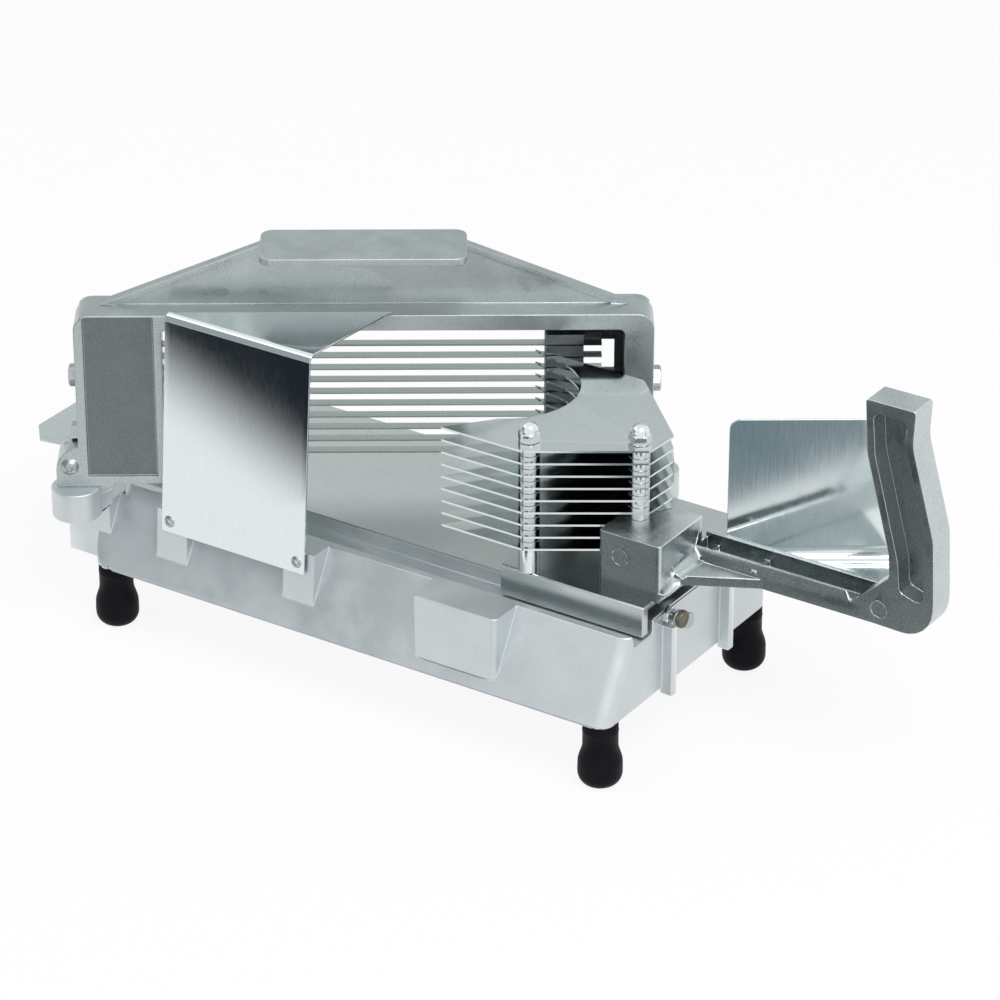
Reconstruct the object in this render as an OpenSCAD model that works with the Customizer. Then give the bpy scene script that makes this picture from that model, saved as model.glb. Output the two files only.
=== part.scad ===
// Push-through tomato slicer with a cast base, a slanted blade frame and a sliding pusher

/* [Blades] */
// Angle between the blade frame and the long side of the base
blade_angle = 33.67; // [30:0.01:36]
// Number of blades in the stack
blade_count = 10; // [6:1:10]
// Distance from one blade to the next
blade_pitch = 6.35; // [5.5:0.05:6.5]
// Height of the top blade above the counter
blade_top_z = 152.8; // [151:0.1:154]
// Thickness of a blade
blade_t = 0.5; // [0.3:0.1:0.8]
// Width of a blade from cutting edge to back
blade_w = 6.5; // [5:0.5:7]
// Depth of the ground cutting edge
blade_edge_w = 1.4; // [0.8:0.1:2]
// Distance of the cutting edges behind the pivot line of the frame
blade_front_off = 24.6; // [24:0.1:26]
// Inset of the blades' left ends from the left edge of the frame
blade_left_in = 21; // [19:0.5:23]
// Inset of the blades' right ends from the right edge of the frame
blade_right_in = 24.8; // [23:0.1:26]

/* [Blade frame] */
// Left edge of the frame
frame_left_a = -169; // [-172:0.5:-167]
// Right edge of the frame
frame_right_a = 107.5; // [106:0.5:109]
// Front face of the frame
frame_front_off = 20; // [19.5:0.1:20.5]
// Back face of the frame
frame_back_off = 40; // [39:0.5:44]
// Underside of the legs
frame_foot_z = 81.6; // [81:0.1:84]
// Height of the cutting window above the top blade
window_over = 10.2; // [8:0.1:12]
// Height of the header between the window and the ledge
header_h = 8.2; // [7:0.2:9]
// Rise of the gable and the palm rest above the ledge
gable_rise = 33.1; // [31:0.1:36]
// Width of the left leg
left_leg_w = 42; // [41:0.5:43]
// Width of the recessed back wall beside the right post
pocket_w = 38.1; // [37:0.1:39]
// Width of the right post
right_post_w = 13.9; // [13:0.1:15]
// Wall thickness of the cast frame
frame_wall = 4; // [3:0.5:4.5]
// Thickness of the back wall behind the right blade ends
pocket_wall = 3.4; // [3:0.1:3.6]

/* [Palm rest] */
// Left edge of the palm rest
palm_left_a = -79.5; // [-84:0.5:-76]
// Right edge of the palm rest
palm_right_a = 18.5; // [16:0.5:22]
// Front edge of the palm rest
palm_front_off = 11.5; // [9:0.5:13]
// Back edge of the palm rest
palm_back_off = 46; // [44:0.5:50]
// Thickness of the palm rest
palm_t = 3.8; // [3:0.2:4.4]

/* [Base] */
// Distance from the base's middle to its left end
base_left = 148.5; // [146:0.5:151]
// Distance from the base's middle to its right end
base_right = 143; // [142:0.5:145]
// Front lower edge of the base
base_front_y = -68.6; // [-70:0.2:-67]
// Rear wall of the base on the outfeed side
base_rear_y = 70; // [68:0.5:74]
// Rear wall of the base on the infeed side
base_step_y = 80; // [78:0.5:84]
// Place of the step in the rear wall
base_step_x = 20; // [10:1:30]
// Underside of the base casting
base_z = 33.2; // [31:0.2:36]
// Top of the front curb
curb_z = 71.8; // [70.5:0.1:72.5]
// Front edge of the curb
curb_front_y = -48; // [-49:0.5:-47]
// Inner edge of the curb
curb_back_y = -44; // [-45:0.2:-43]
// Floor of the guide channel
channel_z = 66.5; // [65.5:0.1:66.8]
// Front face of the raised platform
platform_y = -28; // [-28.5:0.1:-27.5]
// Top of the deck sheet
deck_z = 74.5; // [74:0.1:75]
// Thickness of the deck sheet
deck_t = 1; // [0.6:0.1:1.5]
// Wall thickness of the base casting
base_wall = 4; // [3:0.5:5]
// Length of the low extension on the outfeed side
shelf_len = 24.5; // [20:0.5:29]

/* [Feet] */
// Radius of a foot's stem
foot_stem_r = 8.4; // [8:0.1:9]
// Radius of a foot's swollen end
foot_bulge_r = 10.6; // [9.5:0.1:12]
// Inset of the left feet from the left end of the base
foot_left_in = 2.8; // [2:0.2:6]
// Inset of the right feet from the right end of the base
foot_right_in = 8.2; // [8:0.2:12]
// Front row of feet
foot_front_y = -59.5; // [-60:0.5:-57]
// Rear foot on the outfeed side
foot_rear_y = 60; // [54:0.5:61]
// Rear foot on the infeed side, under the step
foot_step_y = 71.4; // [68:0.2:72]

/* [Front guard] */
// Left edge of the front guard
guard_left_x = -113.6; // [-113.6:0.2:-111]
// Right edge of the front guard
guard_right_x = -29.5; // [-34:0.5:-26]
// Height of the guard's lower edge
guard_foot_z = 61.5; // [60:0.5:62.5]
// Height of the guard's top flange
guard_top_z = 171.4; // [168:0.2:173]
// Back face of the guard at its lower edge
guard_foot_y = -61.2; // [-62:0.1:-60.5]
// Back face of the guard at its top edge
guard_top_y = -52.6; // [-53.5:0.1:-52.4]
// Thickness of the guard sheets
sheet_t = 1; // [0.8:0.1:1.2]

/* [Pusher plates] */
// Thickness of a pusher plate
plate_t = 1; // [0.8:0.1:1.4]
// Front edge of the plates
plate_front_y = -43; // [-43.5:0.5:-41]
// Back edge of the plates
plate_back_y = 50; // [47:0.5:50.5]
// Tip of the long front horn
horn_x = 36; // [35.5:0.5:40]
// Tip of the short rear horn
rear_horn_x = 28; // [28:0.5:32]
// Radius of the notch that cups the fruit
notch_r = 35.8; // [32:0.2:36.5]
// Radius of the two stacking rods
rod_r = 3; // [2.5:0.1:3.2]
// Outer radius of the spacers
spacer_r = 5; // [4.4:0.1:5.4]

/* [Carriage and handle] */
// Left end of the carriage
carriage_left_x = 64.2; // [63:0.2:66]
// Right end of the carriage
carriage_right_x = 142.2; // [141:0.2:143]
// Top of the carriage
carriage_z = 83; // [82.6:0.1:83.4]
// Thickness of the carriage plate
carriage_t = 3; // [2.5:0.1:4]
// Outer face of the carriage's front lip
lip_y = -36; // [-37:0.2:-35.5]
// Rear edge of the carriage
carriage_back_y = 41; // [36:0.5:42]
// Top of the handle block
block_z = 112; // [111.2:0.1:113]
// Front face of the handle block
block_front_y = -28; // [-29:0.5:-27]
// Front plane of the arm and the grip
grip_front_y = 2; // [1:0.5:3]
// Depth of the arm and the grip
grip_depth = 16; // [15:0.5:18]
// Underside of the arm
arm_z = 88; // [87:0.5:89]
// Right edge of the grip at its widest place
grip_right_x = 271.5; // [268:0.5:276]
// Top of the grip
grip_top_z = 199.5; // [192:0.5:206]

/* [Hidden] */
$fn = 48;

// Overrun of every cut past the face that it opens
over = 1;
// Clearance of a screw or rod in its hole
fit = 0.06;
// Clearance of a slide that runs on flat faces
slide_fit = 0.05;
// Gap between sheets that lie close together
sheet_gap = 0.4;

// Outline of the front lugs and ears that join the frame to the base
lug_r = 12;
lug_past = 2;
lug_off = 22;
lug_z = 65;
ear_z = 80;
ear_top_z = 101;
ear_out = 10;
ear_in = 9;
ear_depth = 18;
lug_bolt_r = 3;
lug_bolt_head_r = 5.6;
lug_bolt_head_h = 4;
lug_bolt_grip = 8;
lug_bolt_shift = 4;
lug_bolt_room = 0.4;
lug_web_w = 18;

// Outfeed chute, measured outwards from the base
chute_drop = 7;
chute_reach = 77.5;
chute_front_y = -30;
chute_back_y = 58;
chute_chamfer_x = 12;
chute_chamfer_y = 14;
chute_tab = 16;
chute_screw_in = 8;
chute_screw_y = 22;

// Guard screws and the pads behind them
pad_half = 9;
pad_bottom_z = 44;
guard_screw_in = 4.6;
guard_screw_z = 67;
guard_screw_r = 2;
guard_screw_head_r = 3.6;
guard_screw_head_h = 2.4;
guard_screw_len = 9;
guard_nose = 4;

// Side bolts, pins and end blocks of the blade stack
block_gap = 0.2;
block_side_gap = 0.5;
block_len = 18;
block_margin = 5.5;
blade_pin_r = 1.2;
kerf = 0.1;
side_bolt_r = 2;
side_bolt_off = 33.7;
left_bolt_z = [133.7, 102.9];
right_bolt_z = [131, 102];
side_bolt_bite = 6;
side_head_r = 5.6;
side_head_h = 4;
right_head_r = 6.4;

// Carriage, glides and the end bolt of the base
lip_t = 5;
lip_z = 67.4;
strip_w = 10;
strip_in = 8;
strip_front_in = 20;
shoe_z = 69;
end_bolt_r = 1.8;
end_bolt_z = 71.2;
end_bolt_y = -16;
end_bolt_bite = 6;
end_bolt_out = 7;
end_head_r = 4.4;
end_head_h = 3;
end_nut_r = 4.4;
end_nut_h = 3;
tab_t = 1.2;
tab_r = 4;
tab_reach = 10;
tab_drop = 6;

// Rods and their nuts
rod_left_x = 77.7;
rod_left_y = -32.4;
rod_right_x = 121.4;
rod_right_y = -6.4;
nut_r = 5.4;
nut_hex_h = 5;
nut_dome_r = 4.7;
rod_end = 4;

// Notch and corners of the plates
notch_x = 36.6;
notch_y = 10.3;
notch_in_x = 54;
notch_in_y = -21;
notch_out_x = 38;
notch_out_y = 46.1;
plate_corner = [131, 8];
plate_tail = [130, -11];
plate_front_x = 81;
plate_back_x = 89;
plate_round = 2;
horn_round = 0.5;

// Handle casting
block_left_x = 113;
block_right_x = 146;
block_edge_off = -68;
block_back_y = 10;
block_bump_x = 127;
block_bump_back_x = 131;
block_wall = 4;
arm_wall = 3;
arm_floor_z = 93;
near_wall_z = 99;
near_front_z = 94;
near_slope = 2.2;
far_wall_z = 101.5;
gusset_z = 93;
gusset_x = 183;
gusset_root_y = -17;
gusset_round = 8;
root_fillet = 6;
tray_end_x = 229;
tray_end_z = 95;
rib_x = [150, 177];
rib_t = 2.5;
rib_z = 96;
foot_fillet = 5;
foot_fillet_d = 14;
grip_left_x = 233;
grip_top_right_x = 258.5;
grip_neck_x = 234.8;
grip_neck_drop = 26.5;
grip_elbow_x = 247.6;
grip_elbow_z = 126;
grip_root_x = 248.6;
grip_root_z = 113.5;
grip_back_x = 257.7;
grip_back_drop = 17.5;
grip_heel_x = 270;
grip_heel_z = 138;
grip_low_z = 108;
grip_bottom_z = 87;
grip_foot_x = 242;
grip_heel_r = 15;
grip_rim = 4.2;
grip_pocket = 10;
pocket_foot_z = 108;
pocket_round = 3.5;
ring_r = 4.6;
ring_w = 0.7;
ring_h = 0.4;
ring_x = 124.5;
ring_z = 101;
ring_arm_x = 244;
ring_arm_z = 96;

// Knuckle guard behind the grip
knuckle_off = -70;
knuckle_left_a = 138.7;
knuckle_right_a = 217;
knuckle_top_z = 160.3;
knuckle_corner = 5;
knuckle_flange = 8;
knuckle_far = 22;
knuckle_screw_x = [184, 218];
knuckle_screw_y = 10;
knuckle_screw_r = 2;
knuckle_head_r = 3.8;
knuckle_head_h = 2.4;

// Number of steps in a rounded corner
round_steps = 6;

// Places along the frame, each measured from one of its edges
blade_left_a = frame_left_a + blade_left_in;
blade_right_a = frame_right_a - blade_right_in;
left_leg_a = frame_left_a + left_leg_w;
right_post_a = frame_right_a - right_post_w;
right_pocket_a = right_post_a - pocket_w;
left_block_a = left_leg_a - block_side_gap;
right_block_a = right_pocket_a + block_side_gap;
lug_a = lug_past - frame_left_a;
window_top_z = blade_top_z + window_over;
ledge_z = window_top_z + header_h;
gable_top_z = ledge_z + gable_rise;

// The rear lug mirrors the front one through the middle of the frame
rear_lug_a = frame_right_a + (lug_a + frame_left_a);
rear_lug_off = frame_back_off - (lug_off - frame_front_off);

// Ground line of the chute and the turned extremes of the part, which centre it on the origin
chute_left_x = -base_left - chute_reach;
mid_x = (grip_right_x + chute_left_x) / 2;
lug_front_y = turned_y(-lug_a, lug_off) - lug_r;
lug_back_y = turned_y(rear_lug_a, rear_lug_off) + lug_r;
mid_y = (lug_front_y + lug_back_y) / 2;

platform_z = deck_z - deck_t;
shelf_z = channel_z;
shelf_front_y = base_front_y + 2 * base_wall;
blade_back_off = blade_front_off + blade_w;
blade_low_z = blade_top_z - (blade_count - 1) * blade_pitch;
block_front_off = blade_front_off + block_gap;
block_back_off = frame_back_off - pocket_wall - block_gap;
lean = atan((guard_top_y - guard_foot_y) / (guard_top_z - guard_foot_z));
foot_left_x = -base_left + foot_left_in;
foot_right_x = base_right - foot_right_in;
tray_slope = (grip_root_z - tray_end_z) / (grip_root_x - tray_end_x);
grip_back_y = grip_front_y + grip_depth;
grip_neck_z = grip_top_z - grip_neck_drop;
grip_back_z = grip_top_z - grip_back_drop;
plate_top_z = blade_top_z - blade_pitch / 2;

function turned_x(a, n) = a * cos(blade_angle) - n * sin(blade_angle);
function turned_y(a, n) = a * sin(blade_angle) + n * cos(blade_angle);
function y_at(x, n) = (n + x * sin(blade_angle)) / cos(blade_angle);
function guard_y(z) = guard_foot_y + (z - guard_foot_z) * tan(lean);
function plate_z(i) = plate_top_z - (i - 1) * blade_pitch;
function blade_z(i) = blade_top_z - (i - 1) * blade_pitch;

// Rounds corner b of the path a, b, c with an arc of radius r
function unit(v) = v / norm(v);
function bend(a, b, c, r) =
    let (u = unit(a - b), w = unit(c - b), half = acos(u * w) / 2)
    let (reach = r / tan(half), hub = b + unit(u + w) * r / sin(half))
    let (p = b + u * reach - hub, q = b + w * reach - hub)
    let (from = atan2(p[1], p[0]), turn = atan2(p[0] * q[1] - p[1] * q[0], p * q))
    [
        for (k = [0:round_steps])
            let (at = from + turn * k / round_steps)
            hub + r * [cos(at), sin(at)]
    ];
function rounded(p, r) = [
    for (i = [0:len(p) - 1])
        let (a = p[(i + len(p) - 1) % len(p)], b = p[i], c = p[(i + 1) % len(p)])
        for (q = r[i] == 0 ? [b] : bend(a, b, c, r[i])) q
];
function box_points(x0, y0, x1, y1) = [[x0, y0], [x1, y0], [x1, y1], [x0, y1]];
function same(value, p) = [for (q = p) value];

// The part stands on the counter with its box centred on the origin
module placed() {
    translate([-mid_x, -mid_y, 0])
        children();
}

// Turns a shape from the blade frame's own directions into the base's
module framed() {
    placed()
        rotate([0, 0, blade_angle])
            children();
}

// Extrudes an outline drawn in Y and Z from one X to another
module along_x(from, to) {
    translate([from, 0, 0])
        rotate([90, 0, 90])
            linear_extrude(to - from)
                children();
}

// Extrudes an outline drawn in X and Z from one Y to another
module along_y(from, to) {
    translate([0, to, 0])
        rotate([90, 0, 0])
            linear_extrude(to - from)
                children();
}

// Extrudes an outline drawn in X and Y from one Z to another
module along_z(from, to) {
    translate([0, 0, from])
        linear_extrude(to - from)
            children();
}

// A box between two opposite corners
module block(low, high) {
    translate(low)
        cube(high - low);
}

// A rod along X, starting at a point
module rod_x(start, r, length) {
    translate(start)
        rotate([0, 90, 0])
            cylinder(r = r, h = length);
}

// A six-sided head along X
module hex_x(start, r, length) {
    translate(start)
        rotate([0, 90, 0])
            cylinder(r = r, h = length, $fn = 6);
}

// A low dome that stands on a flat face, with its axis along Z
module dome(r, h) {
    ball = (r * r + h * h) / (2 * h);
    intersection() {
        translate([0, 0, h - ball])
            sphere(r = ball);
        cylinder(r = r, h = h);
    }
}

// Round post of the base that carries a foot and its stud
module foot_post(x, y) {
    translate([x, y, base_z])
        cylinder(r = foot_stem_r + base_wall / 8, h = channel_z - base_z);
}

// Every foot place as a list of X and Y
foot_places = [
    [foot_left_x, foot_front_y],
    [foot_right_x, foot_front_y],
    [foot_left_x, foot_rear_y],
    [foot_right_x, foot_step_y]
];

// Sloped front of the base with its rounded corners
corner_r = 7;
skin = 1;
module base_nose() {
    hull() {
        for (x = [-base_left + corner_r, base_right - corner_r]) {
            translate([x, base_front_y + corner_r, base_z])
                cylinder(r = corner_r, h = skin, $fn = 32);
            translate([x, curb_front_y + corner_r, curb_z - skin])
                cylinder(r = corner_r, h = skin, $fn = 32);
        }
        block([-base_left, platform_y - skin, base_z], [base_right, platform_y, base_z + skin]);
        block([-base_left, platform_y - skin, curb_z - skin], [base_right, platform_y, curb_z]);
    }
}

// Inner face of the sloped wall at a height
function nose_y(z) = base_front_y + (z - base_z) * (curb_front_y - base_front_y) / (curb_z - base_z);

// Cast box on the front wall
boss_left_x = 34;
boss_right_x = 81;
boss_y = -66;
boss_bottom_z = 39;
boss_round = 3;

// Ribs on the right end wall
rib_out = 5.5;
rib_w = 4.5;
rib_drop = 3;
end_rib_y = [-17, 35];

module lug(a, n) {
    rotate([0, 0, blade_angle])
        translate([a, n, lug_z])
            cylinder(r = lug_r, h = ear_z - lug_z);
}

// Web that ties a lug to the base wall behind it
module lug_web(a, n, y) {
    x = turned_x(a, n);
    block(
        [x - lug_web_w / 2, min(turned_y(a, n), y), lug_z],
        [x + lug_web_w / 2, max(turned_y(a, n), y), platform_z]
    );
}

// The bolts sit a little inward of the lugs, under the middle of the ears
lug_bolt_places = [[-lug_a, lug_off + lug_bolt_shift], [rear_lug_a, rear_lug_off - lug_bolt_shift]];
module lug_bores() {
    rotate([0, 0, blade_angle])
        for (p = lug_bolt_places)
            translate([p[0], p[1], lug_z - over])
                cylinder(r = lug_bolt_r + fit, h = ear_z - lug_z + 2 * over);
}

// Room under each lug for the bolt's head
module lug_head_room() {
    rotate([0, 0, blade_angle])
        for (p = lug_bolt_places)
            translate([p[0], p[1], base_z - over])
                cylinder(r = lug_bolt_head_r + lug_bolt_room, h = lug_z - base_z + over);
}

// Plan of the raised platform from a left edge on, with its rear corner rounded
step_r = 8;
function platform_outline(left) = rounded(
    [
        [left, platform_y],
        [base_right, platform_y],
        [base_right, base_step_y],
        [base_step_x, base_step_y],
        [base_step_x, base_rear_y],
        [left, base_rear_y]
    ],
    [0, 0, step_r, 0, 0, 0]
);

module base_outer() {
    difference() {
        base_nose();
        block(
            [-base_left - over, curb_back_y, channel_z],
            [base_right + over, platform_y + over, curb_z + over]
        );
    }
    along_z(base_z, platform_z)
        polygon(platform_outline(-base_left));
    // The post of the front left foot stands past the end wall, under the slope
    intersection() {
        foot_post(foot_left_x, foot_front_y);
        along_x(foot_left_x - foot_bulge_r, foot_left_x + foot_bulge_r)
            polygon([
                [base_front_y, base_z],
                [nose_y(channel_z), channel_z],
                [platform_y, channel_z],
                [platform_y, base_z]
            ]);
    }
    // The low shelf under the outfeed chute
    block([-base_left - shelf_len, shelf_front_y, base_z], [-base_left + over, base_rear_y, shelf_z]);
    // The cast box on the front
    along_z(boss_bottom_z, curb_z)
        polygon(rounded(
            [
                [boss_left_x, boss_y],
                [boss_right_x, boss_y],
                [boss_right_x, curb_back_y],
                [boss_left_x, curb_back_y]
            ],
            [boss_round, boss_round, 0, 0]
        ));
    // The pads that carry the front guard
    for (x = [guard_left_x + guard_screw_in, guard_right_x - guard_screw_in])
        along_x(x - pad_half, x + pad_half)
            polygon([
                [guard_y(pad_bottom_z), pad_bottom_z],
                [guard_y(curb_z), curb_z],
                [curb_back_y, curb_z],
                [curb_back_y, pad_bottom_z]
            ]);
    for (y = end_rib_y)
        block(
            [base_right - over, y - rib_w / 2, base_z - rib_drop],
            [base_right + rib_out, y + rib_w / 2, channel_z]
        );
    lug(-lug_a, lug_off);
    lug(rear_lug_a, rear_lug_off);
    lug_web(-lug_a, lug_off, shelf_front_y + over);
    lug_web(rear_lug_a, rear_lug_off, base_step_y - over);
}

module base_hollow() {
    roof = channel_z - base_wall;
    along_x(-base_left + base_wall, base_right - base_wall)
        polygon([
            [nose_y(base_z - over) + base_wall, base_z - over],
            [nose_y(roof) + base_wall, roof],
            [platform_y + base_wall, roof],
            [platform_y + base_wall, platform_z - base_wall],
            [base_rear_y - base_wall, platform_z - base_wall],
            [base_rear_y - base_wall, base_z - over]
        ]);
    block(
        [base_step_x + base_wall, 0, base_z - over],
        [base_right - base_wall, base_step_y - base_wall, platform_z - base_wall]
    );
    block(
        [-base_left - shelf_len + base_wall, shelf_front_y + base_wall, base_z - over],
        [-base_left - base_wall / 2, base_rear_y - base_wall, shelf_z - base_wall]
    );
}

stud_r = 3;
stud_len = 22;
module base_casting() {
    color("silver")
        placed()
            difference() {
                union() {
                    difference() {
                        base_outer();
                        base_hollow();
                    }
                    intersection() {
                        base_outer();
                        for (p = foot_places)
                            foot_post(p[0], p[1]);
                    }
                }
                lug_bores();
                lug_head_room();
                for (p = foot_places)
                    translate([p[0], p[1], base_z - over])
                        cylinder(r = stud_r + fit, h = stud_len / 2 + over);
                for (x = [guard_left_x + guard_screw_in, guard_right_x - guard_screw_in])
                    guard_screw_place(x)
                        cylinder(r = guard_screw_r + fit, h = guard_screw_len);
                for (y = chute_screw_places)
                    translate([-base_left + chute_screw_in, y, platform_z - base_wall - over])
                        cylinder(r = guard_screw_r + fit, h = base_wall + 2 * over);
                rod_x(
                    [base_right - end_bolt_bite - over, end_bolt_y, end_bolt_z],
                    end_bolt_r + fit,
                    end_bolt_bite + 2 * over
                );
            }
}

module deck_sheet() {
    color("gainsboro")
        placed()
            along_z(platform_z, deck_z)
                polygon(platform_outline(-base_left + chute_tab + sheet_gap));
}

chute_middle_y = (chute_front_y + chute_back_y) / 2;
chute_screw_places = [chute_middle_y - chute_screw_y, chute_middle_y + chute_screw_y];
module outfeed_chute() {
    color("lightgray")
        placed()
            difference() {
                intersection() {
                    along_y(chute_front_y, chute_back_y)
                        polygon([
                            [chute_left_x, deck_z - chute_drop],
                            [-base_left, deck_z],
                            [-base_left + chute_tab, deck_z],
                            [-base_left + chute_tab, deck_z - deck_t],
                            [-base_left, deck_z - deck_t],
                            [chute_left_x, deck_z - chute_drop - deck_t]
                        ]);
                    along_z(deck_z - 2 * chute_drop, deck_z + over)
                        polygon([
                            [chute_left_x, chute_front_y + chute_chamfer_y],
                            [chute_left_x + chute_chamfer_x, chute_front_y],
                            [-base_left + chute_tab, chute_front_y],
                            [-base_left + chute_tab, chute_back_y],
                            [chute_left_x + chute_chamfer_x, chute_back_y],
                            [chute_left_x, chute_back_y - chute_chamfer_y]
                        ]);
                }
                for (y = chute_screw_places)
                    translate([-base_left + chute_screw_in, y, platform_z - over])
                        cylinder(r = guard_screw_r + fit, h = deck_t + 2 * over);
            }
}

module chute_screws() {
    color("dimgray")
        placed()
            for (y = chute_screw_places)
                translate([-base_left + chute_screw_in, y, 0]) {
                    along_z(platform_z - base_wall, deck_z)
                        circle(r = guard_screw_r);
                    translate([0, 0, deck_z])
                        dome(guard_screw_head_r, guard_screw_head_h / 2);
                }
}

// Rubber foot turned from a profile, cut flat where it stands
foot_flat_r = 5;
foot_low_z = 6;
foot_high_z = 13;
foot_neck_z = 20;
foot_round = 5;
foot_soft = 1.5;
module foot(place) {
    color("black")
        placed()
            translate([place[0], place[1], 0])
                difference() {
                    rotate_extrude()
                        polygon(rounded(
                            [
                                [0, 0],
                                [foot_flat_r, 0],
                                [foot_bulge_r, foot_low_z],
                                [foot_bulge_r, foot_high_z],
                                [foot_stem_r, foot_neck_z],
                                [foot_stem_r, base_z],
                                [0, base_z]
                            ],
                            [0, foot_soft, foot_soft * 2, foot_round, foot_round, 0, 0]
                        ));
                    translate([0, 0, base_z - stud_len / 2])
                        cylinder(r = stud_r + fit, h = stud_len / 2 + over);
                }
}

module foot_front_left() {
    foot(foot_places[0]);
}

module foot_front_right() {
    foot(foot_places[1]);
}

module foot_rear_left() {
    foot(foot_places[2]);
}

module foot_rear_right() {
    foot(foot_places[3]);
}

module foot_studs() {
    color("gray")
        placed()
            for (p = foot_places)
                translate([p[0], p[1], base_z - stud_len / 2])
                    cylinder(r = stud_r, h = stud_len);
}

// Blade frame: an arch with hollow legs, a ledge, a gable and the palm rest
shoulder_r = 8;
ledge_lip = 3.5;
gable_foot_in = 9.5;
web_front_off = 33.3;
web_back_off = 36.6;
rim_front_off = 32.3;
rim_back_off = 38;
rim_t = 3.4;
panel_in = 4.5;
panel_gap = 4;
panel_sunk = 1.6;
pocket_hole_in = 4.6;
pocket_hole_w = 16;
pocket_hole_drop = 12.8;
pocket_hole_right_a = right_post_a - pocket_hole_in;
pocket_hole_top_z = window_top_z - pocket_hole_drop;
arch_corner_shares = [0.2, 0, 0.2, 0, 0.4, 0, 0.2, 1, 1];
arch_outline = rounded(
    [
        [frame_left_a, frame_foot_z],
        [left_leg_a, frame_foot_z],
        [left_leg_a, window_top_z],
        [right_pocket_a, window_top_z],
        [right_post_a, window_top_z],
        [right_post_a, frame_foot_z],
        [frame_right_a, frame_foot_z],
        [frame_right_a, ledge_z],
        [frame_left_a, ledge_z]
    ],
    arch_corner_shares * shoulder_r
);

// Outline of the thin gable that stands on the ledge, moved down by a drop
function gable_outline(drop) = [
    [frame_left_a + gable_foot_in, ledge_z - over - drop],
    [frame_right_a - gable_foot_in, ledge_z - over - drop],
    [palm_right_a, gable_top_z - palm_t / 2 - drop],
    [palm_left_a, gable_top_z - palm_t / 2 - drop]
];
module gable() {
    along_y(web_front_off, web_back_off)
        polygon(gable_outline(0));
    // A raised rim runs up both slopes
    difference() {
        along_y(rim_front_off, rim_back_off)
            polygon(gable_outline(0));
        along_y(rim_front_off - over, rim_back_off + over)
            polygon(gable_outline(rim_t));
    }
    // The ledge reaches back past the frame
    intersection() {
        along_y(frame_back_off - over, frame_back_off + ledge_lip)
            polygon(arch_outline);
        block(
            [frame_left_a - over, frame_back_off - over, ledge_z - rim_t],
            [frame_right_a + over, frame_back_off + ledge_lip, ledge_z + over]
        );
    }
}

module arch_body() {
    difference() {
        union() {
            along_y(frame_front_off, frame_back_off)
                polygon(arch_outline);
            // The recessed wall behind the right ends of the blades
            block(
                [right_pocket_a, frame_back_off - pocket_wall, frame_foot_z],
                [right_post_a + over, frame_back_off, window_top_z + over]
            );
        }
        // The left leg is open at its back and towards the window
        block(
            [frame_left_a + frame_wall * 2, blade_front_off - block_gap * 3, frame_foot_z - over],
            [left_leg_a + over, frame_back_off + over, window_top_z]
        );
        // The square hole in the back wall
        block(
            [
                pocket_hole_right_a - pocket_hole_w,
                frame_back_off - pocket_wall - over,
                pocket_hole_top_z - pocket_hole_w
            ],
            [pocket_hole_right_a, frame_back_off + over, pocket_hole_top_z]
        );
    }
}

// Ear that sits on a lug
module ear(a, n, turn) {
    translate([a, n, 0])
        rotate([0, 0, turn])
            along_y(frame_front_off - lug_off, frame_front_off - lug_off + ear_depth)
                polygon(rounded(
                    box_points(-ear_in, ear_z, ear_out + ear_in, ear_top_z),
                    [0, 0, 0, lug_r]
                ));
}

module blade_frame() {
    color("silver")
        framed()
            difference() {
                union() {
                    arch_body();
                    gable();
                    along_z(gable_top_z - palm_t, gable_top_z)
                        polygon(rounded(
                            box_points(palm_left_a, palm_front_off, palm_right_a, palm_back_off),
                            same(palm_round, [0, 1, 2, 3])
                        ));
                    difference() {
                        union() {
                            ear(-lug_a, lug_off, 0);
                            ear(rear_lug_a, rear_lug_off, 180);
                        }
                        block(
                            [frame_left_a + frame_wall * 2, blade_front_off - block_gap * 3, ear_z - over],
                            [left_leg_a, frame_back_off + over, ear_top_z + over]
                        );
                        block(
                            [right_pocket_a, frame_front_off - over, ear_z - over],
                            [right_post_a, frame_back_off - pocket_wall, ear_top_z + over]
                        );
                    }
                }
                for (p = lug_bolt_places)
                    translate([p[0], p[1], ear_z - over])
                        cylinder(r = lug_bolt_r + fit, h = lug_bolt_grip + over);
                // The shallow panel in the front of the left leg
                block(
                    [frame_left_a + panel_in, frame_front_off - over, frame_foot_z + panel_gap],
                    [left_leg_a - panel_gap, frame_front_off + panel_sunk, ledge_z - skin]
                );
                for (z = left_bolt_z)
                    rod_x(
                        [frame_left_a - over, side_bolt_off, z],
                        side_bolt_r + fit,
                        frame_wall * 2 + 2 * over
                    );
                for (z = right_bolt_z)
                    rod_x(
                        [right_post_a - over, side_bolt_off, z],
                        side_bolt_r + fit,
                        right_post_w + 2 * over
                    );
                // Room in the ears for the heads of the lower side bolts
                rod_x(
                    [frame_left_a - 2 * lug_r, side_bolt_off, left_bolt_z[1]],
                    side_head_r + lug_bolt_room,
                    2 * lug_r
                );
                rod_x(
                    [frame_right_a, side_bolt_off, right_bolt_z[1]],
                    right_head_r + lug_bolt_room,
                    2 * lug_r
                );
                ear_screw_place(fit);
            }
}
palm_round = 6;

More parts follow.
